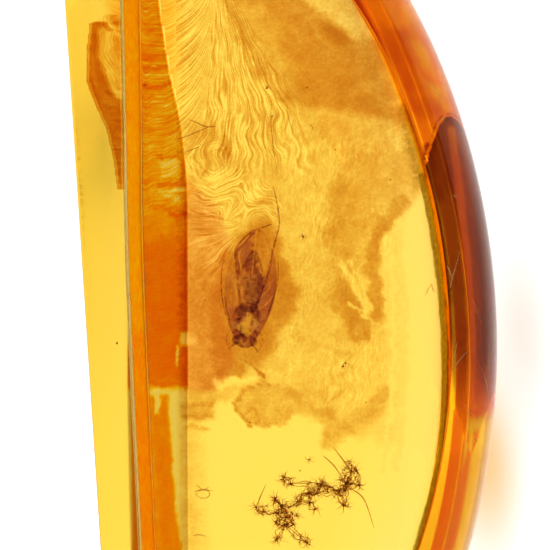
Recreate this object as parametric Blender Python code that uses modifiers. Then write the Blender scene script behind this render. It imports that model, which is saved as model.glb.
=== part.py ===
"""Insect in amber: a polished half-oval of amber, with a planthopper and a tangle of oak hairs sealed in it.

The stone is half of a pebble-like ellipsoid with flat polished windows above and below. Its straight side
is ground to an undercut wall and two facets. It is parted level with the insect, so that the insect and the
hairs lie in pockets. X runs from the straight side to the round one, Y along the stone, and Z up from the
surface that the stone lies on.
"""

import math
import random

import bmesh
import bpy
from mathutils import Matrix, Vector

MM = 0.001

# The stone, in millimetres
HALF_LENGTH = 20.5
WIDTH = 15.0
THICKNESS = 8.1
GIRDLE_HEIGHT = 5.4  # where the stone is widest
UNDER_DEPTH = 7.5  # half-axis of the ellipsoid below the girdle, before the lower window cuts it
CROWN_DEPTH = 5.8  # half-axis above the girdle, before the upper window cuts it
STONE_SEGMENTS = 84
STONE_RINGS = 40
PARTING_HEIGHT = 4.5
PARTING_GAP = 0.3
EDGE_ROUND = 0.12

STRAIGHT_SIDE = -WIDTH / 2
# Facets of the straight side: distance in from its edge at the middle of the stone, height there, how far the
# facet swings in per millimetre along Y, and its slope from the horizontal in degrees
WALL_FACET = (0.0, THICKNESS, 0.0, 74.0)
NARROW_FACET = (1.6, 2.9, 0.03, 62.0)
LOWER_FACET = (3.6, 0.0, 0.062, 52.0)
# Corner facets, the same at both ends: a point that each passes through, and the way it faces
CORNER_FACETS = (
    ((-6.6, 17.6), (-0.80, 0.60)),
    ((-5.4, 18.8), (-0.45, 0.89)),
    ((-3.0, 19.6), (-0.16, 0.99)),
)
CORNER_LEAN = 0.22  # how far the corner facets look down

# The planthopper, in its own frame: the head towards -Y, the back up
INSECT_PLACE = (-1.49, 0.80, 4.5)
INSECT_TURN = -10.0
WING_START = -1.20
WING_END = 2.30
WING_THICKNESS = 0.07
WING_ROOF = 0.42
WING_OUTER = (0.42, 0.70, 0.88, 0.95, 0.94, 0.86, 0.74, 0.56, 0.30)  # from shoulder to tip
WING_INNER = (0.10, 0.05, 0.02, 0.02, 0.02, 0.02, 0.02, 0.03, 0.05)
WING_STRIPS = 8  # every second line between strips is a raised vein
VEIN_RISE = 0.030
ABDOMEN_DROP = 0.12  # below the wings' fold
LEG_RADIUS = 0.055
LEG_TIP_RADIUS = 0.026
FORE_LEG = ((0.16, -1.30, -0.18), (0.58, -1.50, -0.30), (0.66, -1.88, -0.35), (0.46, -2.20, -0.36))
RIGHT_MID_LEG = (
    (0.22, -1.0, -0.2),
    (0.62, -1.0, -0.3),
    (0.86, -0.25, -0.34),
    (0.97, 0.55, -0.34),
    (0.90, 1.22, -0.36),
)
LEFT_MID_LEG = (
    (-0.22, -1.0, -0.2),
    (-0.70, -1.05, -0.32),
    (-1.0, -0.25, -0.34),
    (-1.12, 0.65, -0.34),
    (-1.05, 1.05, -0.36),
)
RIGHT_HIND_LEG = (
    (0.25, -0.5, -0.22),
    (0.58, 0.65, -0.32),
    (0.67, 1.57, -0.20),
    (0.75, 2.15, -0.12),
    (0.80, 2.66, -0.06),
    (0.60, 3.45, 0.0),
    (0.41, 3.96, 0.02),
)
LEFT_HIND_LEG = (
    (-0.25, -0.5, -0.22),
    (-0.55, 0.65, -0.34),
    (-0.68, 1.50, -0.24),
    (-0.25, 2.12, 0.02),
    (0.16, 2.38, 0.10),
    (0.52, 2.54, 0.14),
)
ANTENNA = ((0.26, -1.92, -0.06), (0.42, -2.02, -0.10), (0.56, -2.18, -0.12))
INSECT_POCKET = ((0.0, 0.95, 0.0), (1.75, 3.75, 1.15))

# The tangle of oak hairs: where each star-shaped hair sits, and the threads between them
STAR_HAIRS = {
    "a": (1.78, -5.99), "b": (1.97, -5.97), "c": (1.55, -6.44), "d": (1.30, -6.68), "e": (1.60, -6.57),
    "f": (0.69, -6.41), "g": (0.19, -6.71), "h": (0.48, -6.73), "i": (-0.23, -6.98), "j": (0.19, -7.07),
    "k": (-0.45, -6.34), "l": (-0.69, -6.06), "m": (-1.07, -6.82), "n": (-0.83, -7.10), "o": (-0.66, -7.54),
    "p": (-0.81, -7.80), "q": (-1.10, -7.68), "r": (-1.04, -7.35), "s": (-1.50, -7.29), "t": (-1.78, -7.10),
    "u": (-0.45, -7.82), "v": (-1.11, -8.33), "w": (0.0, -8.51), "x": (0.37, -7.31), "y": (1.43, -7.25),
    "z": (2.04, -6.53),
}
THREADS = (
    "abz", "acz", "acedhgij", "dfkl", "dyc", "fhg", "jx", "ino", "mnr", "rst", "roqp", "oup", "pv", "upw",
)
LONG_HAIRS = (
    ((1.19, -5.08), (1.55, -5.62), (1.78, -5.99)),
    ((0.80, -5.37), (1.20, -5.80), (1.55, -6.44)),
    ((1.60, -6.57), (2.17, -7.03), (2.49, -8.14)),
    ((-1.78, -7.10), (-1.60, -6.72), (-1.37, -6.28)),
)
STAR_CORE = 0.085
STAR_REACH = 0.26
STAR_RAYS = 6
RAY_WIDTH = 0.032
THREAD_RADIUS = 0.030
TANGLE_HEIGHT = 4.5
TANGLE_SPREAD = 0.16  # how far the stars lie above or below the tangle's own level
TANGLE_POCKET = ((0.25, -7.05, TANGLE_HEIGHT), (3.2, 3.0, 0.95))

SHORTEST_EDGE = 0.0005  # shorter ones, which a union leaves, are closed up

AMBER_COLOUR = (0.95, 0.60, 0.09)
INSECT_COLOUR = (0.30, 0.11, 0.035)
HAIR_COLOUR = (0.17, 0.065, 0.018)


def clear_scene():
    for old in list(bpy.data.objects):
        bpy.data.objects.remove(old)


def collection(name):
    made = bpy.data.collections.new(name)
    bpy.context.scene.collection.children.link(made)
    return made


def material(name, colour, roughness, alpha=1.0, transmission=0.0):
    made = bpy.data.materials.new(name)
    made.use_nodes = True
    shader = made.node_tree.nodes["Principled BSDF"]
    shader.inputs["Base Color"].default_value = (*colour, 1.0)
    shader.inputs["Roughness"].default_value = roughness
    shader.inputs["Metallic"].default_value = 0.0
    shader.inputs["Transmission Weight"].default_value = transmission
    shader.inputs["IOR"].default_value = 1.54
    made.diffuse_color = (*colour, alpha)
    return made


def object_from(name, bm, home):
    """A new object whose mesh is bm, with its sizes turned from millimetres to metres."""
    mesh = bpy.data.meshes.new(name)
    bmesh.ops.recalc_face_normals(bm, faces=bm.faces)
    bm.to_mesh(mesh)
    bm.free()
    mesh.transform(Matrix.Scale(MM, 4))
    made = bpy.data.objects.new(name, mesh)
    home.objects.link(made)
    return made


def ellipsoid(name, centre, radii, segments, rings, home):
    bm = bmesh.new()
    bmesh.ops.create_uvsphere(bm, u_segments=segments, v_segments=rings, radius=1.0)
    bmesh.ops.scale(bm, vec=radii, verts=bm.verts)
    bmesh.ops.translate(bm, vec=centre, verts=bm.verts)
    return object_from(name, bm, home)


def tube(name, points, start_radius, end_radius, home):
    """A tapering wire through points, as a closed mesh."""
    curve = bpy.data.curves.new(name, "CURVE")
    curve.dimensions = "3D"
    curve.bevel_depth = start_radius * MM
    curve.bevel_resolution = 1
    curve.use_fill_caps = True
    spline = curve.splines.new("POLY")
    spline.points.add(len(points) - 1)
    for i, (point, spot) in enumerate(zip(spline.points, points)):
        share = i / (len(points) - 1)
        point.co = (*(Vector(spot) * MM), 1.0)
        point.radius = 1.0 + (end_radius / start_radius - 1.0) * share
    wire = bpy.data.objects.new(name, curve)
    home.objects.link(wire)
    bpy.context.view_layer.update()
    mesh = bpy.data.meshes.new_from_object(wire.evaluated_get(bpy.context.evaluated_depsgraph_get()))
    bpy.data.objects.remove(wire)
    bm = bmesh.new()
    bm.from_mesh(mesh)
    bpy.data.meshes.remove(mesh)
    bmesh.ops.remove_doubles(bm, verts=bm.verts, dist=0.0005 * MM)
    bmesh.ops.scale(bm, vec=(1 / MM,) * 3, verts=bm.verts)
    return object_from(name, bm, home)


def smooth_route(points, steps):
    """More points along a Catmull-Rom curve through points."""
    ends = [Vector(points[0])] + [Vector(p) for p in points] + [Vector(points[-1])]
    route = []
    for before, here, there, after in zip(ends, ends[1:], ends[2:], ends[3:]):
        for k in range(steps):
            t = k / steps
            route.append(
                0.5
                * (
                    2 * here
                    + (there - before) * t
                    + (2 * before - 5 * here + 4 * there - after) * t**2
                    + (3 * here - before - 3 * there + after) * t**3
                )
            )
    route.append(ends[-1])
    return route


def join_solids(base, others):
    """Fuses every one of others into base, and removes them."""
    for other in others:
        fuse = base.modifiers.new("fuse", "BOOLEAN")
        fuse.operation = "UNION"
        fuse.solver = "EXACT"
        fuse.object = other
        bake_modifiers(base)
        bpy.data.objects.remove(other)
    bm = bmesh.new()
    bm.from_mesh(base.data)
    bmesh.ops.triangulate(bm, faces=bm.faces)
    bmesh.ops.dissolve_degenerate(bm, edges=bm.edges, dist=SHORTEST_EDGE * MM)
    bm.to_mesh(base.data)
    bm.free()
    return base


def cut_solids(base, cutters):
    for cutter in cutters:
        cut = base.modifiers.new("pocket", "BOOLEAN")
        cut.operation = "DIFFERENCE"
        cut.solver = "EXACT"
        cut.object = cutter
    return base


def bake_modifiers(made):
    """Replaces made's mesh by what its modifiers make of it."""
    bpy.context.view_layer.update()
    evaluated = made.evaluated_get(bpy.context.evaluated_depsgraph_get())
    mesh = bpy.data.meshes.new_from_object(evaluated)
    made.modifiers.clear()
    old, made.data = made.data, mesh
    bpy.data.meshes.remove(old)


def slice_off(bm, point, outward):
    """Cuts away what lies outward of the plane through point, and closes the cut."""
    geometry = bm.verts[:] + bm.edges[:] + bm.faces[:]
    cut = bmesh.ops.bisect_plane(
        bm, geom=geometry, dist=1e-5, plane_co=point, plane_no=outward, clear_outer=True
    )
    rim = [e for e in cut["geom_cut"] if isinstance(e, bmesh.types.BMEdge)]
    if rim:
        bmesh.ops.contextual_create(bm, geom=rim)


def side_facet(inset, height, swing, slope):
    """Where a facet of the straight side lies and the way it faces."""
    angle = math.radians(slope)
    along = Vector((swing, 1.0, 0.0))
    inward_rise = Vector((-math.cos(angle), 0.0, math.sin(angle)))
    outward = along.cross(inward_rise).normalized()
    if outward.x > 0:
        outward.negate()
    return Vector((STRAIGHT_SIDE + inset, 0.0, height)), outward


def whole_stone():
    """The polished stone in one piece, before it is parted."""
    bm = bmesh.new()
    bmesh.ops.create_uvsphere(bm, u_segments=STONE_SEGMENTS, v_segments=STONE_RINGS, radius=1.0)
    for vert in bm.verts:
        depth = CROWN_DEPTH if vert.co.z > 0 else UNDER_DEPTH
        vert.co.x = STRAIGHT_SIDE + vert.co.x * WIDTH
        vert.co.y *= HALF_LENGTH
        vert.co.z = GIRDLE_HEIGHT + vert.co.z * depth
    slice_off(bm, Vector((0, 0, THICKNESS)), Vector((0, 0, 1)))
    slice_off(bm, Vector((0, 0, 0)), Vector((0, 0, -1)))
    for facet in (WALL_FACET, NARROW_FACET, LOWER_FACET):
        slice_off(bm, *side_facet(*facet))
    for end in (1, -1):
        for (x, y), (face_x, face_y) in CORNER_FACETS:
            slice_off(bm, Vector((x, y * end, GIRDLE_HEIGHT)), Vector((face_x, face_y * end, -CORNER_LEAN)))
    return bm


def stone_half(name, keep_above, cutters, home):
    """One half of the stone, with its share of the pockets."""
    bm = whole_stone()
    away = -1 if keep_above else 1
    level = PARTING_HEIGHT - away * PARTING_GAP / 2
    slice_off(bm, Vector((0, 0, level)), Vector((0, 0, away)))
    return cut_solids(object_from(name, bm, home), cutters)


def wing(side, home):
    """A forewing held over the abdomen like one slope of a roof, with raised veins."""
    rows = 2 * (len(WING_OUTER) - 1)
    bm = bmesh.new()
    bmesh.ops.create_grid(bm, x_segments=WING_STRIPS, y_segments=rows, size=0.5)
    for vert in bm.verts:
        out = vert.co.x + 0.5
        along = vert.co.y + 0.5
        station = along * (len(WING_OUTER) - 1)
        k = min(int(station), len(WING_OUTER) - 2)
        share = station - k
        outer = WING_OUTER[k] + (WING_OUTER[k + 1] - WING_OUTER[k]) * share
        inner = WING_INNER[k] + (WING_INNER[k + 1] - WING_INNER[k]) * share
        slope = 1.0 - 0.55 * along**2
        vein = VEIN_RISE * (outer - inner) * (round(out * WING_STRIPS) % 2)
        height = WING_ROOF * (1.0 - out**1.8) * slope + vein
        vert.co.x = side * (inner + (outer - inner) * out)
        vert.co.y = WING_START + (WING_END - WING_START) * along
        vert.co.z = height
    plate = object_from("wing", bm, home)
    thicken = plate.modifiers.new("thickness", "SOLIDIFY")
    thicken.thickness = WING_THICKNESS * MM
    thicken.offset = 0.0
    bake_modifiers(plate)
    return plate


def abdomen(home):
    """A tapering abdomen with a ridge for each segment, turned and then flattened."""
    rows, rings = 15, 7
    bm = bmesh.new()
    profile = []
    for i in range(rows):
        s = i / (rows - 1)
        girth = 0.50 * math.sin(math.pi * (0.12 + 0.88 * s)) ** 0.75
        ridge = 1.0 + 0.05 * math.cos(2 * math.pi * rings * s)
        end = 0.0 if i in (0, rows - 1) else 1.0
        profile.append(bm.verts.new((girth * ridge * end, 0.0, -0.75 + 2.35 * s)))
    for lower, upper in zip(profile, profile[1:]):
        bm.edges.new((lower, upper))
    mesh = bpy.data.meshes.new("abdomen")
    bm.to_mesh(mesh)
    bm.free()
    mesh.transform(Matrix.Scale(MM, 4))
    turned = bpy.data.objects.new("abdomen", mesh)
    home.objects.link(turned)
    screw = turned.modifiers.new("turn", "SCREW")
    screw.steps = screw.render_steps = 14
    screw.use_merge_vertices = True
    screw.merge_threshold = 0.001 * MM
    bake_modifiers(turned)
    turned.data.transform(Matrix.Diagonal((1.0, 0.78, 1.0, 1.0)))
    turned.data.transform(Matrix.Rotation(math.radians(-90), 4, "X"))
    turned.data.transform(Matrix.Translation((0.0, 0.0, -ABDOMEN_DROP * MM)))
    bm = bmesh.new()
    bm.from_mesh(turned.data)
    bmesh.ops.recalc_face_normals(bm, faces=bm.faces)
    bm.to_mesh(turned.data)
    bm.free()
    return turned


def mirrored(points):
    return tuple((-x, y, z) for x, y, z in points)


def planthopper(home):
    """The whole insect as one solid: head, thorax, shield, abdomen, wings, legs and feelers."""
    body = ellipsoid("insect", (0.0, -1.0, -0.02), (0.52, 0.62, 0.36), 16, 10, home)
    pieces = [
        abdomen(home),
        ellipsoid("head", (0.0, -1.80, -0.04), (0.40, 0.27, 0.26), 14, 8, home),
        ellipsoid("collar", (0.0, -1.50, 0.06), (0.48, 0.20, 0.27), 14, 8, home),
        ellipsoid("shield", (0.0, -1.16, 0.20), (0.34, 0.46, 0.24), 12, 8, home),
        tube("beak", [(0.0, -1.85, -0.2), (0.0, -1.5, -0.42), (0.0, -1.05, -0.44)], 0.07, 0.035, home),
    ]
    for side in (1, -1):
        pieces.append(wing(side, home))
        pieces.append(ellipsoid("eye", (side * 0.33, -1.80, 0.0), (0.14, 0.17, 0.15), 10, 7, home))
        feeler = ANTENNA if side > 0 else mirrored(ANTENNA)
        pieces.append(tube("feeler", smooth_route(feeler, 2), 0.045, 0.018, home))
    for route in (FORE_LEG, mirrored(FORE_LEG), RIGHT_MID_LEG, LEFT_MID_LEG, RIGHT_HIND_LEG, LEFT_HIND_LEG):
        pieces.append(tube("leg", smooth_route(route, 2), LEG_RADIUS, LEG_TIP_RADIUS, home))
    return join_solids(body, pieces)


def star_hair(place, chance, home):
    """One hair of an oak bud: a small core with stiff rays that stand out all round it."""
    bm = bmesh.new()
    bmesh.ops.create_icosphere(bm, subdivisions=1, radius=STAR_CORE)
    rays = chance.sample(list(bm.faces), STAR_RAYS)
    for face in rays:
        reach = STAR_REACH * chance.uniform(0.75, 1.15)
        centre = face.calc_center_median()
        away = Vector((centre.x, centre.y, centre.z * 0.7)).normalized()
        foot = bmesh.ops.poke(bm, faces=[face])
        foot["verts"][0].co = away * reach
    bmesh.ops.translate(bm, vec=place, verts=bm.verts)
    return object_from("star", bm, home)


def hair_tangle(home):
    """The tangle as one solid: star-shaped hairs on crossing threads, and a few long loose hairs."""
    chance = random.Random(12)
    places = {}
    for key, (x, y) in STAR_HAIRS.items():
        places[key] = Vector((x, y, TANGLE_HEIGHT + chance.uniform(-TANGLE_SPREAD, TANGLE_SPREAD)))
    pieces = [star_hair(place, chance, home) for place in places.values()]
    for thread in THREADS:
        route = [places[key] for key in thread]
        pieces.append(tube("thread", route, THREAD_RADIUS * 1.2, THREAD_RADIUS, home))
    for hair in LONG_HAIRS:
        route = [Vector((x, y, TANGLE_HEIGHT)) for x, y in hair]
        pieces.append(tube("long_hair", route, THREAD_RADIUS, THREAD_RADIUS * 0.8, home))
    return join_solids(pieces[0], pieces[1:])


def place_insect(made):
    """Stands made, in the insect's own frame, where the insect lies in the stone."""
    made.location = Vector(INSECT_PLACE) * MM
    made.rotation_euler.z = math.radians(INSECT_TURN)


def main():
    clear_scene()
    home = collection("insect_in_amber")
    tools = collection("cutters")
    amber = material("amber", AMBER_COLOUR, 0.05, alpha=0.5, transmission=0.9)
    chitin = material("chitin", INSECT_COLOUR, 0.45)
    hair = material("oak_hair", HAIR_COLOUR, 0.7)

    insect_pocket = ellipsoid("insect_pocket", *INSECT_POCKET, 28, 16, tools)
    place_insect(insect_pocket)
    tangle_pocket = ellipsoid("tangle_pocket", *TANGLE_POCKET, 28, 16, tools)
    cutters = (insect_pocket, tangle_pocket)
    for cutter in cutters:
        cutter.hide_render = True
        cutter.display_type = "WIRE"

    insect = planthopper(home)
    place_insect(insect)
    tangle = hair_tangle(home)
    tangle.name = "oak_hair_tangle"
    upper = stone_half("amber_upper_half", True, cutters, home)
    lower = stone_half("amber_lower_half", False, cutters, home)

    for made, finish in ((upper, amber), (lower, amber), (insect, chitin), (tangle, hair)):
        made.data.materials.clear()
        made.data.materials.append(finish)
        made.data.shade_smooth()
        made.data.set_sharp_from_angle(angle=math.radians(30))


main()
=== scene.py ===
"""The looks of the insect in amber: a clear polished stone, its flow layers, a planthopper and oak hairs."""

import math
import random

import bmesh
import bpy
import numpy as np
from mathutils import Matrix, Vector, noise


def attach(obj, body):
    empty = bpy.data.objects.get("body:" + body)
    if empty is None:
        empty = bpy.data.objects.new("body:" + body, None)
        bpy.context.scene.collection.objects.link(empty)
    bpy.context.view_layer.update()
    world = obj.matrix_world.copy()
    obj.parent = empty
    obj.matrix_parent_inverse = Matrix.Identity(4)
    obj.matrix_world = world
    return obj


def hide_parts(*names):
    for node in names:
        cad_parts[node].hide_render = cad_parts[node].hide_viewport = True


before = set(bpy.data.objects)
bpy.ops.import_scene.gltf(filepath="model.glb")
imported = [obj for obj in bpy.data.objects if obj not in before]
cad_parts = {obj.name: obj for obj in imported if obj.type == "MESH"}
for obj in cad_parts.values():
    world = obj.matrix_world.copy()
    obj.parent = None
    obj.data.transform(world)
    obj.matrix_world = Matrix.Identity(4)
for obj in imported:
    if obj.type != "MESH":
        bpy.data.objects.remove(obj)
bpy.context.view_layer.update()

MM = 0.001

# The stone, in millimetres, as the solids have it
WIDTH = 15.0
HALF_LENGTH = 20.5
THICKNESS = 8.1
GIRDLE_HEIGHT = 5.4
UNDER_DEPTH = 7.5
CROWN_DEPTH = 5.8
STRAIGHT_SIDE = -WIDTH / 2
# The straight side at places along Y: how far in from the outline its three lower edges lie, wall to narrow
# facet, narrow facet to lower bevel, and lower bevel to the resting face
SIDE_STATIONS = (
    (-21.0, 1.22, 1.62, 2.35),
    (-9.0, 1.34, 1.84, 3.05),
    (-2.9, 1.44, 1.97, 3.42),
    (1.9, 1.55, 2.08, 3.72),
    (5.0, 1.68, 2.22, 3.92),
    (7.5, 1.80, 2.38, 3.80),
    (9.0, 1.86, 2.46, 3.50),
    (12.0, 1.98, 2.60, 3.25),
    (21.0, 2.45, 3.10, 3.70),
)
NARROW_SLOPE = 62.0
LOWER_SLOPE = 53.0
SIDE_SOFTNESS = 1.6
STATION_STEP = 0.1
CORNER_FACETS = (
    ((-6.6, 17.6), (-0.80, 0.60)),
    ((-5.4, 18.8), (-0.45, 0.89)),
    ((-3.0, 19.6), (-0.16, 0.99)),
)
CORNER_LEAN = 0.22
EDGE_ROUND = 0.04
SECTION_STEP = 0.2
SECTION_REACH = 20.3
RIM_POINTS = 82
FROST_ROUGHNESS = 0.15
NARROW_FROST = 9.0
# Steps along the section's sides and how frosted they are: wall, narrow facet, lower bevel, resting face
SECTION_SIDES = ((16, 0.8), (6, NARROW_FROST), (12, 7.0), (16, 0.0))
FULL_SIZE = 0.9996  # keeps the fine stone within the solids' box

# The planthopper, in its own frame: the head towards -Y, the back up
INSECT_PLACE = (-1.49, 0.80, 4.5)
INSECT_TURN = -10.0
WING_START = -1.78
WING_END = 2.30
WING_ROOF = 0.42
WING_OUTER = (0.38, 0.64, 0.82, 0.92, 0.95, 0.91, 0.80, 0.60, 0.30)  # from shoulder to tip
WING_INNER = (0.04, 0.03, 0.02, 0.02, 0.02, 0.02, 0.02, 0.03, 0.05)
ABDOMEN_DROP = 0.12  # below the wings' fold
LEG_RADIUS = 0.055
LEG_TIP_RADIUS = 0.026
FORE_LEG = ((0.16, -1.30, -0.18), (0.58, -1.50, -0.30), (0.66, -1.88, -0.35), (0.46, -2.20, -0.36))
RIGHT_MID_LEG = (
    (0.22, -1.0, -0.2),
    (0.62, -1.0, -0.3),
    (0.86, -0.25, -0.34),
    (0.97, 0.55, -0.34),
    (0.90, 1.22, -0.36),
)
LEFT_MID_LEG = (
    (-0.22, -1.0, -0.2),
    (-0.70, -1.05, -0.32),
    (-1.0, -0.25, -0.34),
    (-1.12, 0.65, -0.34),
    (-1.05, 1.05, -0.36),
)
RIGHT_HIND_LEG = (
    (0.25, -0.5, -0.22),
    (0.58, 0.65, -0.32),
    (0.67, 1.57, -0.20),
    (0.75, 2.15, -0.12),
    (0.80, 2.66, -0.06),
    (0.60, 3.45, 0.0),
    (0.41, 3.96, 0.02),
)
LEFT_HIND_LEG = (
    (-0.25, -0.5, -0.22),
    (-0.55, 0.65, -0.34),
    (-0.68, 1.50, -0.24),
    (-0.25, 2.12, 0.02),
    (0.16, 2.38, 0.10),
    (0.52, 2.54, 0.14),
)
ANTENNA = ((0.26, -1.92, -0.06), (0.42, -2.02, -0.10), (0.56, -2.18, -0.12))

# The tangle of oak hairs: where each star-shaped hair sits, and the threads between them
STAR_HAIRS = {
    "a": (1.78, -5.99), "b": (1.97, -5.97), "c": (1.55, -6.44), "d": (1.30, -6.68), "e": (1.60, -6.57),
    "f": (0.69, -6.41), "g": (0.19, -6.71), "h": (0.48, -6.73), "i": (-0.23, -6.98), "j": (0.19, -7.07),
    "k": (-0.45, -6.34), "l": (-0.69, -6.06), "m": (-1.07, -6.82), "n": (-0.83, -7.10), "o": (-0.66, -7.54),
    "p": (-0.81, -7.80), "q": (-1.10, -7.68), "r": (-1.04, -7.35), "s": (-1.50, -7.29), "t": (-1.78, -7.10),
    "u": (-0.45, -7.82), "v": (-1.11, -8.33), "w": (0.0, -8.51), "x": (0.37, -7.31), "y": (1.43, -7.25),
    "z": (2.04, -6.53),
}
THREADS = (
    "abz", "acz", "acedhgij", "dfkl", "dyc", "fhg", "jx", "ino", "mnr", "rst", "roqp", "oup", "pv", "upw",
)
LONG_HAIRS = (
    ((1.19, -5.08), (1.55, -5.62), (1.78, -5.99)),
    ((0.80, -5.37), (1.20, -5.80), (1.55, -6.44)),
    ((1.60, -6.57), (2.17, -7.03), (2.49, -8.14)),
    ((-1.78, -7.10), (-1.60, -6.72), (-1.37, -6.28)),
)
TANGLE_CLUMPS = (  # at U, V: how far the small star hairs are spread there, and how many they are
    (349, 468, 9, 9), (347, 484, 9, 10), (336, 490, 7, 7), (326, 486, 7, 5), (316, 489, 9, 9),
    (308, 496, 8, 8), (297, 501, 7, 6), (281, 508, 9, 8), (284, 520, 9, 9), (291, 513, 7, 5),
    (260, 508, 8, 4), (276, 498, 6, 4), (285, 476, 7, 4), (277, 537, 6, 3), (304, 540, 7, 4),
    (343, 503, 5, 2), (298, 533, 5, 2), (357, 482, 4, 2),
)
TANGLE_HEIGHT = 4.5
TANGLE_SPREAD = 0.16

# The view: straight down, turned a little, 20.2 mm across
VIEW_CENTRE = (-0.53, 1.36)
VIEW_WIDTH = 20.2
VIEW_TURN = 3.75
LENS = 400.0
SENSOR = 36.0
FLOOR_GAP = 0.03

FLOOR_SIZE = 1.6  # metres
FLOOR_NEAR = (1.10, 1.10, 1.10, 1.0)
FLOOR_FAR = (0.35, 0.35, 0.35, 1.0)
FLOOR_LIT = ((-1.0, 0.0), (12.0, 24.0), 0.85, 2.2)  # centre, radii, where it starts and ends to fade
# Painted light on the table beside the stone's round side: a warm painted glow of light through the stone, and
# a cooler painted shadow: centre, radii, colour
FLOOR_PAINTED_GLOW_AND_SHADOW = (
    ((6.9, -6.0), (2.4, 6.4), (1.0, 0.46, 0.16, 1.0)),
    ((8.6, -1.5), (2.2, 6.4), (0.86, 0.72, 0.66, 1.0)),
)

# Studio light: the sine of its height above the horizon, and how bright it is there
SKY_RINGS = ((0.0, 0.62), (0.30, 0.62), (0.50, 0.80), (0.90, 0.80), (0.97, 0.03), (1.0, 0.03))
SKY_STRENGTH = 1.2
SKY_LEAST = 0.15
SKY_LEAN = (-0.9, -0.5, 0.0)  # the sky is brighter this way

# Amber: what it takes from red, green and blue light per metre
ABSORPTION = (6.0, 50.0, 300.0)
AMBER_IOR = 1.54
BLUSH = (0.90, 0.50, 0.55, 1.0)
LIGHT_BOUNCES = 32

# Places seen in the photo are given by its pixels, U to the right and V down
PIXEL = 1.0 / 27.2  # millimetres
SIDE_U = 67.0  # where the straight side crosses the photo's top edge
MIDDLE_V = 325.0  # how far down that side from there Y is 0


# ---------------------------------------------------------------- helpers


def new_material(name):
    """A material, its node tree and its Principled shader."""
    made = bpy.data.materials.new(name)
    made.use_nodes = True
    return made, made.node_tree, made.node_tree.nodes["Principled BSDF"]


def add_node(tree, kind, inputs=None, **settings):
    """A shader node; each of its inputs is given a number, a colour or another node's output."""
    made = tree.nodes.new("ShaderNode" + kind)
    for name, setting in settings.items():
        setattr(made, name, setting)
    for socket, given in (inputs or {}).items():
        if isinstance(given, bpy.types.NodeSocket):
            tree.links.new(given, made.inputs[socket])
        else:
            made.inputs[socket].default_value = given
    return made


def maths(tree, operation, *given):
    return add_node(tree, "Math", dict(enumerate(given)), operation=operation).outputs["Value"]


def painted(tree, name, output="Fac"):
    """What the mesh has painted on it under this name."""
    return add_node(tree, "Attribute", attribute_name=name).outputs[output]


def grain(tree, scale, detail=2.0, distortion=0.0):
    """Noise that keeps its place on the piece."""
    place = add_node(tree, "TexCoord").outputs["Object"]
    inputs = {"Vector": place, "Scale": scale, "Detail": detail, "Distortion": distortion}
    return add_node(tree, "TexNoise", inputs).outputs["Fac"]


def mixed(tree, factor, first, second, blend="MIX"):
    inputs = {"Factor": factor, "A": first, "B": second}
    return add_node(tree, "Mix", inputs, data_type="RGBA", blend_type=blend).outputs["Result"]


def ramp(tree, share, *stops):
    """Colours that change with the share, from stop to stop (place, colour)."""
    made = add_node(tree, "ValToRGB", {"Fac": share})
    for place, _ in stops[1:-1]:
        made.color_ramp.elements.new(place)
    for element, (place, colour) in zip(made.color_ramp.elements, stops):
        element.position = place
        element.color = (*colour, 1.0)
    return made.outputs["Color"]


def object_from(name, bm):
    """A new smooth object whose mesh is bm, with its sizes turned from millimetres to metres."""
    mesh = bpy.data.meshes.new(name)
    bm.to_mesh(mesh)
    bm.free()
    mesh.transform(Matrix.Scale(MM, 4))
    mesh.shade_smooth()
    made = bpy.data.objects.new(name, mesh)
    bpy.context.scene.collection.objects.link(made)
    return made


def stitch(bm, rows, closed=False):
    """Faces between neighbouring rows of vertices; None is a gap, and a closed row runs on to its start."""
    for row, after in zip(rows, rows[1:]):
        if closed:
            row, after = row + row[:1], after + after[:1]
        for corners in zip(row, row[1:], after[1:], after):
            if all(corners):
                bm.faces.new(corners)


def grid_mesh(name, rows):
    """A sheet through rows of points in millimetres; a point may be None, where the sheet has a gap."""
    bm = bmesh.new()
    stitch(bm, [[bm.verts.new(spot) if spot is not None else None for spot in row] for row in rows])
    loose = [vert for vert in bm.verts if not vert.link_faces]
    bmesh.ops.delete(bm, geom=loose, context="VERTS")
    return object_from(name, bm)


def ease(low, high, value):
    """0 up to low and 1 from high on, with a soft rise between them."""
    t = np.clip((value - low) / (high - low), 0.0, 1.0)
    return t * t * (3.0 - 2.0 * t)


def photo_place(x, y):
    """The photo's pixel (U, V) where a place of the stone lies, seen straight from above."""
    right = (x - STRAIGHT_SIDE) / PIXEL
    down = MIDDLE_V - y / PIXEL
    turn = math.radians(VIEW_TURN)
    return (
        right * math.cos(turn) + down * math.sin(turn) + SIDE_U,
        -right * math.sin(turn) + down * math.cos(turn),
    )


def stone_place(u, v):
    """The place in the stone (X, Y) that lies at the photo's pixel (U, V)."""
    turn = math.radians(VIEW_TURN)
    u = u - SIDE_U
    right = u * math.cos(turn) - v * math.sin(turn)
    down = u * math.sin(turn) + v * math.cos(turn)
    return STRAIGHT_SIDE + right * PIXEL, (MIDDLE_V - down) * PIXEL


# ---------------------------------------------------------------- the stone


def side_table():
    """The stations of the straight side, filled in and rounded off along Y."""
    columns = list(zip(*SIDE_STATIONS))
    places = np.arange(-24.0, 24.05, STATION_STEP)
    reach = int(SIDE_SOFTNESS / STATION_STEP)
    weights = np.hanning(2 * reach + 1)
    weights /= weights.sum()
    filled = []
    for column in columns[1:]:
        values = np.interp(places, columns[0], column)
        filled.append(np.convolve(np.pad(values, reach, mode="edge"), weights, mode="valid"))
    return places, filled


SIDE_TABLE = side_table()


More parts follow.
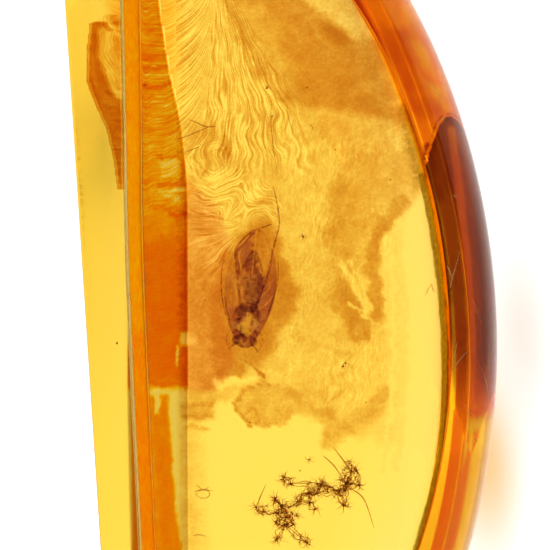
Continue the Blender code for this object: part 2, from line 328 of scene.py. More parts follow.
def side_edges(y):
    """The straight side's edges at y: (X, Z) from the top edge down to the resting face."""
    in1, in2, in3 = (float(np.interp(y, SIDE_TABLE[0], values)) for values in SIDE_TABLE[1])
    z2 = (in3 - in2) * math.tan(math.radians(LOWER_SLOPE))
    z1 = z2 + (in2 - in1) * math.tan(math.radians(NARROW_SLOPE))
    return [
        (STRAIGHT_SIDE, THICKNESS),
        (STRAIGHT_SIDE + in1, z1),
        (STRAIGHT_SIDE + in2, z2),
        (STRAIGHT_SIDE + in3, 0.0),
    ]


def left_limit(edges, z):
    """The straight side's X at the height z."""
    for (x_top, z_top), (x_low, z_low) in zip(edges, edges[1:]):
        if z >= z_low:
            return x_top + (x_low - x_top) * (z_top - z) / (z_top - z_low)
    return edges[-1][0]


def span_at(y):
    """How wide the half-ellipse is at y, as a share of its full width."""
    return math.sqrt(max(0.0, 1.0 - (y / HALF_LENGTH) ** 2))


def right_limit(span, z):
    """The round side's X at the height z."""
    depth = CROWN_DEPTH if z > GIRDLE_HEIGHT else UNDER_DEPTH
    inside = span**2 - ((z - GIRDLE_HEIGHT) / depth) ** 2
    return STRAIGHT_SIDE + WIDTH * math.sqrt(max(0.0, inside))


def corner_planes():
    """A point on each ground corner facet, and its outward direction."""
    planes = []
    for end in (1, -1):
        for (x, y), (face_x, face_y) in CORNER_FACETS:
            outward = Vector((face_x, face_y * end, -CORNER_LEAN)).normalized()
            planes.append((Vector((x, y * end, GIRDLE_HEIGHT)), outward))
    return planes


CORNER_PLANES = corner_planes()


def within_stone(x, y, z, gap=0.12):
    """Whether a place is inside the round side and the ground corner facets, by the gap at least."""
    if x > right_limit(span_at(y), z) - gap:
        return False
    return all((Vector((x, y, z)) - point).dot(outward) <= -gap for point, outward in CORNER_PLANES)


def rim_arc(span, low, high):
    """The round side's outline (X, Z) from the height low up to high."""
    start = -math.asin(min(1.0, (GIRDLE_HEIGHT - low) / UNDER_DEPTH / span))
    stop = math.asin(min(1.0, (high - GIRDLE_HEIGHT) / CROWN_DEPTH / span))
    arc = []
    for angle in np.linspace(start, stop, RIM_POINTS):
        depth = CROWN_DEPTH if angle > 0 else UNDER_DEPTH
        x = STRAIGHT_SIDE + WIDTH * span * math.cos(angle)
        arc.append(Vector((x, GIRDLE_HEIGHT + depth * span * math.sin(angle))))
    return arc


def rounded(before, corner, after):
    """Points round a corner of the outline, on a curve that starts and ends a little away from it."""
    start, stop = (
        corner + (other - corner).normalized() * min(EDGE_ROUND, (other - corner).length * 0.4)
        for other in (before, after)
    )
    return [start * (1 - t) ** 2 + corner * 2 * t * (1 - t) + stop * t**2 for t in (k / 6 for k in range(7))]


def section(y):
    """The stone's outline at y, with rounded corners: points (X, Z, frost), and always as many of them."""
    span = span_at(y)
    edges = side_edges(y)
    levels = np.linspace(0.0, THICKNESS, 325)
    held = [z for z in levels if right_limit(span, z) > left_limit(edges, z) + 1e-6]
    if len(held) < 4:
        return None
    low, high = held[0], held[-1]
    z1, z2 = (min(high - 0.02, max(low + 0.02, edge[1])) for edge in edges[1:3])
    z2 = min(z2, z1 - 0.01)
    rim = rim_arc(span, low, high)
    corners = [Vector((left_limit(edges, z), z)) for z in (high, z1, z2, low)] + [rim[0], rim[-1]]
    points = []
    for k, (steps, frost) in enumerate(SECTION_SIDES):
        a, b = corners[k : k + 2]
        points += [(spot.x, spot.y, 0.0) for spot in rounded(corners[k - 1], a, b)]
        for j in range(1, steps):
            t = j / steps
            spot = a.lerp(b, 0.03 + 0.94 * t if (b - a).length < 0.5 else t)
            if min((spot - a).length, (spot - b).length) > EDGE_ROUND or frost == NARROW_FROST:
                points.append((spot.x, spot.y, frost))
            else:
                points.append((*points[-1][:2], frost))
    clear = rounded(corners[3], rim[0], rim[6]) + rim[5:-5] + rounded(rim[-7], rim[-1], corners[0])
    clear += [rim[-1].lerp(corners[0], j / 12) for j in range(1, 12)]
    return points + [(spot.x, spot.y, 0.0) for spot in clear]


def on_corner_facet(edge):
    for point, outward in CORNER_PLANES:
        if all(abs((vert.co - point).dot(outward)) < 1e-4 for vert in edge.verts):
            return True
    return False


def clear_stone():
    """The whole stone: sections joined along Y, then its corners ground off and their edges rounded."""
    bm = bmesh.new()
    frost_layer = bm.verts.layers.float.new("frost")
    rows = []
    for y in np.linspace(-SECTION_REACH, SECTION_REACH, int(2 * SECTION_REACH / SECTION_STEP) + 1):
        row = []
        for x, z, frost in section(float(y)) or ():
            vert = bm.verts.new((x, y, z))
            vert[frost_layer] = frost
            row.append(vert)
        if row:
            rows.append(row)
    stitch(bm, rows, closed=True)
    bm.faces.new(rows[0])
    bm.faces.new(rows[-1])
    bmesh.ops.remove_doubles(bm, verts=bm.verts, dist=0.002)
    bmesh.ops.dissolve_degenerate(bm, edges=bm.edges, dist=0.001)
    for point, outward in CORNER_PLANES:
        geometry = bm.verts[:] + bm.edges[:] + bm.faces[:]
        cut = bmesh.ops.bisect_plane(
            bm, geom=geometry, dist=1e-5, plane_co=point, plane_no=outward, clear_outer=True
        )
        rim = [e for e in cut["geom_cut"] if isinstance(e, bmesh.types.BMEdge)]
        bmesh.ops.contextual_create(bm, geom=rim)
    bmesh.ops.recalc_face_normals(bm, faces=bm.faces)
    sharp = [e for e in bm.edges if len(e.link_faces) == 2 and e.calc_face_angle(0.0) >= math.radians(9)]
    bmesh.ops.bevel(
        bm, geom=[edge for edge in sharp if on_corner_facet(edge)], offset=EDGE_ROUND * 0.8,
        offset_type="OFFSET", segments=3, profile=0.5, affect="EDGES", clamp_overlap=True,
    )
    bmesh.ops.scale(bm, vec=(1.0, FULL_SIZE, 1.0), verts=bm.verts)
    stone = object_from("amber_clear", bm)
    weighted = stone.modifiers.new("normals", "WEIGHTED_NORMAL")
    weighted.keep_sharp = True
    return stone


def amber_material():
    made, tree, shader = new_material("amber")
    shader.inputs["Base Color"].default_value = (1.0, 1.0, 1.0, 1.0)
    shader.inputs["Transmission Weight"].default_value = 1.0
    shader.inputs["IOR"].default_value = AMBER_IOR
    shader.inputs["Specular Tint"].default_value = (1.0, 0.42, 0.10, 1.0)
    scratched = add_node(tree, "TexNoise", {"Scale": 9000.0, "Detail": 3.0}).outputs["Fac"]
    rough = maths(tree, "MULTIPLY", maths(tree, "MULTIPLY", painted(tree, "frost"), scratched), FROST_ROUGHNESS)
    tree.links.new(rough, shader.inputs["Roughness"])
    volume = tree.nodes.new("ShaderNodeVolumeAbsorption")
    density = max(ABSORPTION)
    volume.inputs["Density"].default_value = density
    volume.inputs["Color"].default_value = (*(1.0 - taken / density for taken in ABSORPTION), 1.0)
    tree.links.new(volume.outputs["Volume"], tree.nodes["Material Output"].inputs["Volume"])
    return made


# ---------------------------------------------------------------- painting the sheets


def path_distance(path, u, v):
    """How far each place is from the path, in pixels."""
    nearest = np.full(u.shape, 1e9)
    for (u1, v1), (u2, v2) in zip(path, path[1:]):
        run = ((u - u1) * (u2 - u1) + (v - v1) * (v2 - v1)) / ((u2 - u1) ** 2 + (v2 - v1) ** 2)
        run = np.clip(run, 0, 1)
        nearest = np.minimum(nearest, np.hypot(u - u1 - run * (u2 - u1), v - v1 - run * (v2 - v1)))
    return nearest


def near_path(path, u, v, half_width, soft):
    """1 within half_width of the path, and 0 further off than soft beyond that."""
    return 1.0 - ease(half_width, half_width + soft, path_distance(path, u, v))


def inside(polygon, u, v, soft):
    """1 well inside the polygon and 0 well outside it."""
    outline = (*polygon, polygon[0])
    within = np.zeros(u.shape, dtype=bool)
    for (u1, v1), (u2, v2) in zip(outline, outline[1:]):
        at = u1 + (v - v1) * (u2 - u1) / (v2 - v1 if v2 != v1 else 1e-9)
        within ^= ((v1 > v) != (v2 > v)) & (u < at)
    nearest = path_distance(outline, u, v)
    return ease(-soft, soft, np.where(within, nearest, -nearest))


def ripple(u, v, scale, seed):
    """Smooth noise from about -1 to 1 at each place."""
    return np.array([noise.noise(Vector((a / scale, b / scale, seed))) for a, b in zip(u, v)]) * 1.6


def add_float(mesh, name, values):
    made = mesh.attributes.new(name, "FLOAT", "POINT")
    made.data.foreach_set("value", np.asarray(values, dtype=np.float32))


def add_vector(mesh, name, columns):
    made = mesh.attributes.new(name, "FLOAT_VECTOR", "POINT")
    made.data.foreach_set("vector", np.stack(columns, axis=1).astype(np.float32).ravel())


def photo_places(mesh):
    flat = np.empty(len(mesh.vertices) * 3)
    mesh.vertices.foreach_get("co", flat)
    spots = flat.reshape(-1, 3) / MM
    return photo_place(spots[:, 0], spots[:, 1])


def paint_haze(mesh, start, patches, bands, edge_noise=3.0, fade=lambda u, v: 1.0, blush=lambda u, v: 0.0):
    """Gives the sheet its depth of colour: start everywhere, then each patch (polygon, level, softness)
    and each band (path, level, half width, softness). The fade thins it, and the blush makes it pinker.
    """
    u, v = photo_places(mesh)
    shifted_u = u + edge_noise * ripple(u, v, 12.0, 1.7) + 0.5 * edge_noise * ripple(u, v, 4.0, 2.9)
    shifted_v = v + edge_noise * ripple(u, v, 12.0, 6.7) + 0.5 * edge_noise * ripple(u, v, 4.0, 7.9)
    haze = np.full(u.shape, float(start))
    for polygon, level, soft in patches:
        haze += (level - haze) * inside(polygon, shifted_u, shifted_v, soft)
    for path, level, half_width, soft in bands:
        haze += (level - haze) * near_path(path, shifted_u, shifted_v, half_width, soft)
    add_float(mesh, "haze", haze * fade(u, v))
    add_float(mesh, "blush", np.broadcast_to(blush(u, v), u.shape))
    return u, v


def tint_material(name, flows, mottle, flow_depth=0.5, steps=(0.41, 1.0, 1.9), roughness=0.0, ior=1.0):
    """A clear film that takes light as amber does: more from blue than green, and more from green than red.

    How much it takes at a place is the haze painted there, and lines and mottling on it. A flow gives its
    lines as how far across them a place is, how far along, and how strong they are. A blush is pinker.
    """
    made, tree, shader = new_material(name)
    shader.inputs["Transmission Weight"].default_value = 1.0
    shader.inputs["IOR"].default_value = ior
    shader.inputs["Roughness"].default_value = roughness
    shader.inputs["Specular IOR Level"].default_value = 0.0
    haze = painted(tree, "haze")
    depth = haze
    for k, flow in enumerate(flows):
        lines = add_node(tree, "SeparateXYZ", {"Vector": painted(tree, flow, "Vector")}).outputs
        place = add_node(tree, "CombineXYZ", {"X": lines["X"], "Y": lines["Y"], "Z": 3.7 * k})
        strands = {"Vector": place.outputs["Vector"], "Scale": 1.0, "Detail": 3.0, "Roughness": 0.55}
        line = maths(tree, "SUBTRACT", add_node(tree, "TexNoise", strands).outputs["Fac"], 0.5)
        line = maths(tree, "MULTIPLY", line, 5.0 * flow_depth)
        depth = maths(tree, "ADD", depth, maths(tree, "MULTIPLY", line, lines["Z"]))
    for scale, detail, distortion, amount in mottle:
        patch = maths(tree, "SUBTRACT", grain(tree, scale, detail, distortion), 0.5)
        patch = maths(tree, "MULTIPLY", patch, 2.0 * amount)
        patch = maths(tree, "MULTIPLY", patch, maths(tree, "MINIMUM", haze, 1.0))
        depth = maths(tree, "ADD", depth, patch)
    depth = maths(tree, "MAXIMUM", depth, 0.0)
    let_through = {
        socket: maths(tree, "EXPONENT", maths(tree, "MULTIPLY", depth, -step))
        for socket, step in zip(("Red", "Green", "Blue"), steps)
    }
    colour = add_node(tree, "CombineColor", let_through).outputs["Color"]
    blushed = mixed(tree, painted(tree, "blush"), colour, BLUSH, "MULTIPLY")
    tree.links.new(blushed, shader.inputs["Base Color"])
    return made


# ---------------------------------------------------------------- the flow layers

# Each kind of lines gives, for a place, its way across and along the lines and their strength


def ridge(v):
    """Where the comb of flow lines meets the fan."""
    return np.interp(v, (-80.0, 0.0, 110.0, 160.0, 200.0), (214.0, 213.0, 205.0, 190.0, 186.0))


def comb_lines(u, v):
    edge = ridge(v) + 3.0
    share = np.clip((u - 165.0) / (edge - 165.0), 0.0, 0.985)
    across = v - 22.0 * np.log(1.0 - share)
    weight = (1.0 - ease(-5.0, 0.0, u - ridge(v))) * (1.0 - ease(125.0, 165.0, v)) * ease(138.0, 144.0, u)
    return across / 2.3, u / 40.0, weight


def skin_comb(u, v):
    """The comb lines on a side skin, which end where the flow layer takes over."""
    across, along, weight = comb_lines(u, v)
    return across, along, weight * (1.0 - ease(168.0, 180.0, u))


def band_lines(u, v):
    across = v + 3.0 * ripple(u, v, 14.0, 3.1) + 5.0 * ripple(u, v, 40.0, 3.7)
    weight = ease(138.0, 144.0, u) * (1.0 - ease(176.0, 190.0, u)) * ease(120.0, 160.0, v)
    weight = weight * (1.0 - 0.5 * ease(180.0, 230.0, v)) * (1.0 - 0.9 * ease(380.0, 392.0, v))
    return across / 4.0, u / 35.0, weight


def fan_lines(u, v):
    spread = np.maximum(20.0 + 0.5 * v, 18.0)
    share = (u - ridge(v)) / spread
    across = 62.0 * share + 3.0 * ripple(u, v, 18.0, 5.3)
    weight = ease(-1.0, 1.0, u - ridge(v)) * (1.0 - ease(0.95, 1.5, share))
    return across / 1.5, v / 26.0, weight * (1.0 - ease(150.0, 185.0, v))


def whorl_lines(u, v):
    first = np.hypot((u - 214.0) / 1.15, v - 160.0)
    second = np.hypot(u - 262.0, v - 224.0)
    turn = ease(-14.0, 14.0, (u - 240.0) * 0.72 + (v - 204.0) * 0.5)
    across = (1.0 - turn) * (first - 28.0) + turn * (26.0 - second)
    across = across + 3.6 * ripple(u, v, 22.0, 8.1) + 1.1 * ripple(u, v, 7.0, 4.9)
    weight = inside(WHORL, u, v, 7.0) * ease(6.0, 16.0, first)
    return across / 1.5, (u + v) / 24.0, weight


def converging_lines(u, v):
    away = np.hypot(u - 246.0, v - 226.0)
    angle = np.arctan2(v - 226.0, u - 246.0)
    across = angle * 34.0 + 1.5 * ripple(u, v, 16.0, 9.4)
    weight = inside(CONVERGING, u, v, 8.0) * (1.0 - 0.75 * ease(40.0, 70.0, away))
    return across / 2.2, away / 30.0, weight


def streak_lines(u, v):
    """Short streaks across the middle of the sheet, running down it."""
    across = u + 0.12 * v + 5.0 * ripple(u, v, 34.0, 5.9) + 1.5 * ripple(u, v, 9.0, 3.3)
    patchy = 0.24 + 0.22 * ripple(u, v, 26.0, 7.7)
    return across / 2.4, v / 9.0, np.clip(patchy, 0.0, 0.6) * inside(STREAKED, u, v, 16.0)


FLOWS = {
    "comb": comb_lines,
    "band": band_lines,
    "fan": fan_lines,
    "whorl": whorl_lines,
    "converging": converging_lines,
    "streak": streak_lines,
}
FLOW_MOTTLE = (  # scale, detail, distortion and strength
    (9500.0, 3.0, 0.4, 0.60),
    (3200.0, 4.0, 0.8, 0.50),
    (900.0, 4.0, 1.4, 0.85),
    (260.0, 3.0, 0.8, 0.60),
)
WHORL = (
    (183, 150), (215, 140), (240, 165), (268, 185), (282, 205), (276, 222), (262, 214), (246, 216),
    (228, 224), (205, 215), (190, 190),
)
CONVERGING = (
    (183, 205), (205, 212), (228, 222), (238, 224), (236, 240), (226, 262), (218, 300), (183, 320),
)
STREAKED = (
    (270, 120), (390, 130), (404, 200), (376, 290), (384, 400), (330, 420), (262, 372), (300, 290),
    (286, 200),
)
CLOUD = (
    (120, -90), (480, -90), (460, 60), (441, 110), (425, 190), (402, 216), (386, 250), (379, 290),
    (388, 330), (386, 380), (384, 418), (362, 434), (340, 436), (318, 424), (300, 414), (285, 408),
    (240, 398), (215, 402), (195, 414), (120, 414),
)
MILKY = (
    (221, -90), (223, 0), (253, 67), (278, 100), (303, 104), (370, 118), (405, 127), (440, 100),
    (425, 60), (400, 46), (348, 34), (332, 24), (303, -2), (290, -90),
)
SCUTELLUM_GLOW = ((249, 311), (262, 324), (247, 340), (233, 328))
BLUSHED = ((183, 175), (216, 205), (232, 240), (222, 300), (236, 366), (212, 392), (183, 392))
FLOW_PATCHES = (
    (CLOUD, 0.68, 4.0),
    (((383, 226), (400, 214), (404, 300), (402, 440), (376, 446), (386, 330), (382, 270)), 0.25, 5.0),
    (((356, 345), (386, 332), (392, 425), (362, 440), (338, 410)), 0.40, 9.0),
    (((120, -90), (225, -90), (226, 20), (215, 110), (190, 150), (183, 230), (120, 230)), 0.60, 4.0),
    (MILKY, 2.15, 7.0),
    (((232, 0), (262, 0), (290, 60), (300, 96), (278, 92), (254, 60)), 1.3, 12.0),
    (((385, -60), (470, -60), (452, 100), (430, 125), (396, 100), (385, 40)), 0.9, 12.0),
    (((412, -60), (470, -60), (452, 100), (430, 125), (420, 70)), 0.2, 9.0),
    (((303, -90), (385, -90), (392, 10), (380, 28), (348, 28), (332, 18), (303, -2)), 0.85, 8.0),
    (((322, 26), (340, 30), (352, 40), (340, 44), (326, 38)), 3.4, 6.0),
    (((186, 128), (208, 122), (228, 140), (232, 165), (205, 170), (188, 158)), 1.2, 8.0),
    (((300, 112), (400, 124), (412, 190), (375, 225), (345, 260), (320, 230), (312, 160)), 1.1, 12.0),
    (((300, 118), (345, 150), (335, 240), (300, 250), (286, 190), (284, 150)), 0.50, 12.0),
    (((183, 182), (222, 215), (236, 232), (224, 300), (236, 372), (214, 384), (183, 392)), 0.85, 6.0),
    (((183, 262), (230, 262), (236, 372), (214, 384), (183, 388)), 1.45, 14.0),
    (((222, 262), (240, 232), (262, 218), (278, 232), (283, 258), (299, 292), (291, 318), (277, 334),
      (271, 358), (256, 366), (232, 358), (214, 338), (208, 300)), 2.2, 6.0),
    (SCUTELLUM_GLOW, 1.3, 2.0),
    (((334, 272), (352, 286), (369, 322), (367, 341), (352, 338), (338, 316), (328, 292)), 1.9, 4.0),
    (((318, 262), (340, 262), (336, 300), (318, 306)), 1.1, 8.0),
    (((208, 345), (228, 348), (246, 368), (240, 380), (216, 378)), 2.1, 3.0),
    (((234, 404), (244, 388), (268, 384), (291, 394), (298, 410), (284, 424), (262, 429), (244, 420)),
      1.05, 2.0),
    (((262, 378), (290, 386), (304, 396), (298, 402), (280, 392), (262, 386)), 1.3, 3.0),
    (((298, 402), (330, 412), (334, 420), (310, 412)), 1.2, 3.0),
    # painted highlights: the next two thin patches are glints that catch the light
    (((182, 333), (197, 335), (195, 344), (183, 343)), 0.3, 3.5),
    (((158, 184), (182, 182), (186, 200), (158, 200)), 0.3, 3.0),
    (((160, 386), (216, 388), (214, 418), (160, 424)), 1.25, 6.0),
    (((150, 422), (196, 424), (202, 600), (150, 600)), 0.65, 16.0),
    (((178, 404), (216, 403), (214, 407), (180, 408)), 2.0, 2.0),
    (((182, 415), (214, 414), (212, 418), (184, 419)), 1.9, 2.0),
    (((184, 425), (212, 426), (210, 430), (186, 430)), 1.4, 2.0),
    (((200, 376), (215, 374), (214, 390), (201, 391)), 1.9, 3.0),
)
FLOW_BANDS = (
    # painted shade: a darker line along the cloud's right edge
    (((402, 200), (386, 222), (374, 245), (372, 268), (376, 296), (378, 315)), 1.7, 3.5, 6.0),
    (((345, 196), (338, 225), (342, 262)), 1.3, 8.0, 14.0),
    (((330, 440), (345, 425), (372, 412), (386, 392)), 1.0, 4.0, 9.0),
    (((234, 404), (244, 388), (258, 385), (268, 384)), 2.0, 0.8, 1.4),
    (((234, 404), (238, 412), (248, 420)), 2.0, 0.8, 1.4),
    (((247, 412), (252, 410), (258, 414), (256, 422), (250, 425), (246, 420)), 1.8, 0.6, 1.2),
    (((214, 384), (232, 382), (255, 376)), 0.1, 2.0, 4.0),
    (((240, 358), (252, 366), (268, 377)), 2.6, 0.5, 1.0),
    (((343, 262), (352, 280), (362, 300), (368, 318)), 0.3, 1.2, 2.0),
    (((349, 300), (360, 312), (367, 320)), 0.3, 0.8, 1.6),
    (((350, 262), (358, 275), (366, 295), (371, 312)), 0.3, 0.7, 1.6),
    (((398, 222), (404, 300), (403, 390), (396, 470)), 0.16, 1.5, 4.0),
    (((390, 240), (394, 300), (394, 380), (384, 470)), 0.10, 1.5, 3.0),
)
# The main sheet: its reach along U and V, where along Y it stops, its height, its waves and its mesh
FLOW_START = 176.0
FLOW_STOP = 470.0
FLOW_TOP = -80.0
FLOW_BOTTOM = 600.0
FLOW_END = 14.2
FLOW_LEVEL = 3.2
FLOW_WAVE = 0.22
FLOW_STEP = 0.095 / PIXEL
FLOW_GAP = 0.12  # from the straight side


def flow_layer():
    """The main sheet that the resin's flow left, under the planthopper."""
    rows = []
    for v in np.arange(FLOW_TOP, FLOW_BOTTOM, FLOW_STEP):
        row = []
        for u in np.arange(FLOW_START, FLOW_STOP, FLOW_STEP):
            x, y = stone_place(u, v)
            z = FLOW_LEVEL + FLOW_WAVE * noise.noise(Vector((x / 3.5, y / 3.5, 4.4)))
            held = left_limit(side_edges(y), z) + FLOW_GAP < x and within_stone(x, y, z, 0.15)
            row.append((x, y, z) if held and y < FLOW_END else None)
        rows.append(row)
    layer = grid_mesh("flow_layer", rows)
    u, v = paint_haze(
        layer.data, 0.0, FLOW_PATCHES, FLOW_BANDS,
        fade=lambda u, v: ease(FLOW_START, FLOW_START + 7.0, u),
        blush=lambda u, v: inside(BLUSHED, u, v, 5.0),
    )
    for name, lines in FLOWS.items():
        add_vector(layer.data, name, lines(u, v))
    layer.data.materials.append(tint_material("flow_layer", FLOWS, FLOW_MOTTLE, 1.25))
    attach(layer, "root")


def bevel_lines(u, v):
    """Golden arcs across the lower bevel."""
    bump = 4.5 * np.exp(-(((u - 145.0) / 4.5) ** 2))
    across = v - bump + 0.022 * np.maximum(u - 158.0, 0.0) ** 2 + 1.5 * ripple(u, v, 20.0, 3.1)
    weight = 1.15 * (1.0 - ease(176.0, 190.0, u)) * (1.0 - 0.55 * ease(190.0, 240.0, v))
    return across / 1.9, u / 26.0, weight * (1.0 - ease(380.0, 392.0, v))


def facet_lines(u, v):
    """Grinding lines along the narrow facet."""
    across = u - 122.0 + 0.03 * v + 1.5 * ripple(u, v, 20.0, 4.2)
    return across / 1.6, v / 12.0, np.full(u.shape, 0.5)


def side_painted_skins():
    """Tinted, scattering skins just inside the lower bevel and the narrow facet.

    They stand in for scratches, and their tint is painted light: deep orange as painted shade for long ways of
    the light, whose colour the amber alone doesn't give, and thin places as painted highlights where glints
    catch the light.
    """
    for name, upper_edge, patches, streaks, lines, depth, steps, roughness in SIDE_PAINTED_SKINS:
        rows = []
        for y in np.arange(-SKIN_REACH, SKIN_REACH, SKIN_STEP):
            upper, lower = (Vector(edge) for edge in side_edges(y)[upper_edge : upper_edge + 2])
            slope = (lower - upper).normalized()
            inward = Vector((-slope.y, slope.x)) * SKIN_DEPTH
            row = []
            for t in np.linspace(0.02, 0.99, 36):
                spot = upper.lerp(lower, float(t)) + inward
                place = (spot.x, float(y), max(spot.y, 0.03))
                row.append(place if within_stone(*place) else None)
            rows.append(row)
        skin = grid_mesh(name, rows)
        u, v = paint_haze(skin.data, SKIN_PAINTED_DEPTH, patches, streaks, edge_noise=1.5)
        add_vector(skin.data, "band", lines(u, v))
        add_vector(skin.data, "comb", skin_comb(u, v))
        made = tint_material(name, ("band", "comb"), SKIN_MOTTLE, depth, steps, roughness, SKIN_IOR)
        skin.data.materials.append(made)
        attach(skin, "root")


def low_sheet():
    """The flow lines where the lower bevel runs out, just above the resting face."""
    rows = []
    for y in np.arange(*LOW_LENGTH, SKIN_STEP):
        start = side_edges(y)[3][0] + 0.04
        spots = [(x, float(y), LOW_HEIGHT) for x in STRAIGHT_SIDE + np.arange(*LOW_WIDTH, SKIN_STEP)]
        rows.append([spot if spot[0] > start and within_stone(*spot) else None for spot in spots])
    sheet = grid_mesh("low_flow", rows)
    u, v = paint_haze(sheet.data, 0.0, LOW_PATCHES, (), edge_noise=1.5)
    add_vector(sheet.data, "comb", skin_comb(u, v))
    sheet.data.materials.append(
        tint_material("low_flow", ("comb",), ((1500.0, 3.0, 0.5, 0.2),), 0.6, (0.12, 1.0, 3.0))
    )
    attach(sheet, "root")


SKIN_REACH = 19.4
SKIN_STEP = 0.09
LOW_LENGTH = (4.0, 15.2)
LOW_WIDTH = (2.4, 4.6)  # in from the straight side
LOW_HEIGHT = 0.12
SKIN_DEPTH = 0.07
# how deep the side skins' painted shade starts
SKIN_PAINTED_DEPTH = 1.75
SKIN_IOR = 1.35
SKIN_MOTTLE = ((9000.0, 3.0, 0.3, 0.55), (3200.0, 3.0, 0.6, 0.5), (1100.0, 3.0, 0.8, 0.45))
LOW_PATCHES = (
    (((120, -90), (178, -90), (176, 60), (172, 130), (186, 190), (120, 200)), 0.85, 12.0),
    (((120, -90), (156, -90), (156, 60), (156, 130), (160, 190), (120, 200)), 1.4, 9.0),
)
# The lower bevel's painted light: deep tint as painted shade for long ways of the light, thin patches as
# painted highlights
BEVEL_PATCHES = (
    (((166, 120), (200, 120), (200, 410), (166, 410)), 1.75, 5.0),
    (((148, 56), (184, 56), (188, 212), (152, 212)), 1.25, 8.0),
    # painted highlight: a thinner patch where a glint catches the light
    (((159, 158), (179, 158), (179, 178), (159, 178)), 0.55, 2.5),
    (((136, 240), (190, 240), (190, 383), (140, 383)), 2.8, 12.0),
    (((120, 388), (240, 388), (240, 640), (120, 640)), 0.05, 6.0),
    (((148, 396), (166, 396), (171, 470), (180, 560), (184, 640), (162, 640), (154, 470)), 2.1, 2.5),
    (((120, 396), (150, 396), (155, 470), (162, 560), (120, 560)), 1.7, 3.0),
    # painted highlights: the next two thin patches are glints that catch the light
    (((180, 331), (198, 331), (198, 346), (180, 346)), 0.1, 1.5),
    (((153, 388), (160, 388), (160, 415), (155, 415)), 0.15, 1.5),
)
BEVEL_STREAKS = (
    (((138, 83), (150, 87), (160, 86), (170, 82)), 3.2, 1.0, 2.0),
    (((140, 54), (152, 56), (168, 52)), 2.6, 1.0, 2.5),
    (((140, 64), (154, 67), (170, 61)), 2.6, 1.0, 2.5),
    (((157, 156), (168, 155), (181, 157), (183, 170), (180, 181)), 2.4, 0.8, 1.4),
    (((157, 184), (170, 184), (183, 185)), 2.6, 0.9, 1.4),
    # painted highlights: the next two thin streaks are bright bars where glints catch the light
    (((158, 189.5), (170, 190.5), (182, 189)), 0.15, 1.6, 1.4),
    (((164, 196.5), (178, 197)), 0.3, 1.2, 1.4),
    (((150, 206), (165, 209), (184, 207)), 2.2, 1.4, 2.0),
    (((169, 214), (177, 215), (184, 214)), 3.4, 1.2, 1.4),
    (((142, 262), (164, 266), (184, 262)), 2.6, 1.0, 2.5),
    # painted highlight: a thin bright line where a glint catches the light
    (((176.5, 345), (176.5, 366)), 0.1, 0.8, 1.2),
    (((150, 384), (168, 386), (190, 383), (212, 383)), 2.8, 0.9, 1.2),
    (((142, 372), (160, 376), (180, 372)), 2.9, 1.2, 2.0),
)
# The narrow facet's deep tint is painted shade for long ways of the light inside the stone
FACET_PATCHES = (
    (((110, -90), (150, -90), (150, 150), (110, 150)), 1.8, 14.0),
    (((125, 330), (145, 330), (165, 600), (125, 600)), 2.3, 14.0),
)
SIDE_PAINTED_SKINS = (  # name, which edge is its upper one, patches, streaks, lines, their depth, steps, roughness
    # painted shade and painted highlights on the lower bevel, painted shade on the narrow facet
    ("bevel_painted_light", 2, BEVEL_PATCHES, BEVEL_STREAKS, bevel_lines, 0.8, (0.06, 1.0, 7.0), 0.66),
    ("facet_painted_shade", 1, FACET_PATCHES, (), facet_lines, 0.9, (0.01, 1.0, 10.0), 0.3),
)


def rim_painted_skins():
    """Tinted skins inside the round side, hazy at the cloud and clear and darker further on.

    Their tint too is painted light: the brown and maroon are painted shade for long ways of the light, and the
    orange at the lower end is a painted glow of light through the stone.
    """
    for name, start, stop, roughness, ior, steps in RIM_PAINTED_SKINS:
        rows = []
        for y in np.arange(-RIM_REACH, RIM_REACH + 0.05, RIM_STEP):
            span = span_at(y)
            crown = CROWN_DEPTH * span - RIM_INSET_Z
            reach = math.asin(min(1.0, (THICKNESS - 0.05 - GIRDLE_HEIGHT) / crown))
            row = []
            for angle in np.linspace(-0.12, reach, 60):
                depth = crown if angle > 0 else UNDER_DEPTH * span - RIM_INSET_Z
                x = STRAIGHT_SIDE + (WIDTH * span - RIM_INSET_X) * math.cos(angle)
                z = GIRDLE_HEIGHT + depth * math.sin(angle)
                u, v = photo_place(x, y)
                held = start(u) <= v < stop(u) and within_stone(x, y, z, 0.08)
                row.append((x, float(y), z) if held and x > RIM_END and span > RIM_LEAST_SPAN else None)
            rows.append(row)
        skin = grid_mesh(name, rows)
        u, v = paint_haze(skin.data, 0.0, RIM_PATCHES, RIM_STREAKS, edge_noise=0.6, fade=rim_fade)
        add_rim_rings(skin.data, u, v)
        add_vector(skin.data, "rim", ((u - 0.05 * v) / 2.5, v / 40.0, np.full(u.shape, 0.5)))
        skin.data.materials.append(
            tint_material(name, ("rim",), ((700.0, 3.0, 0.8, 0.35),), 0.35, steps, roughness, ior)
        )
        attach(skin, "root")


def rim_arch(u):
    """Where along V the hazy skin ends, in an arch over the dark one."""
    return 117.0 + (0.09 if u < 446.0 else 0.05) * (u - 446.0) ** 2


def rim_tip(u):
    """Where along V the dark skin ends, in a pointed tip."""
    return 395.0 + 55.0 * max(0.0, 1.0 - abs(u - 469.0) / 22.0)


def rim_fade(u, v):
    """Thins the rim's skins out around V 435, where the dark zone ends."""
    return 1.0 - 0.85 * ease(335.0, 432.0, v) * (1.0 - ease(440.0, 460.0, v))


def add_rim_rings(mesh, u, v):
    """Fine rings across the dark skin, close together, beside its redder streak."""
    haze = np.empty(len(mesh.vertices), dtype=np.float32)
    mesh.attributes["haze"].data.foreach_get("value", haze)
    wave = np.sin((v + 0.35 * (u - 470.0) + 1.5 * ripple(u, v, 16.0, 2.3)) * 2.0 * math.pi / 6.3)
    rings = np.clip(wave - 0.35, 0.0, 1.0) * (1.0 + 0.6 * ripple(u, v, 22.0, 6.1))
    haze += 0.55 * inside(RINGED, u, v, 4.0) * rings
    mesh.attributes["haze"].data.foreach_set("value", haze)


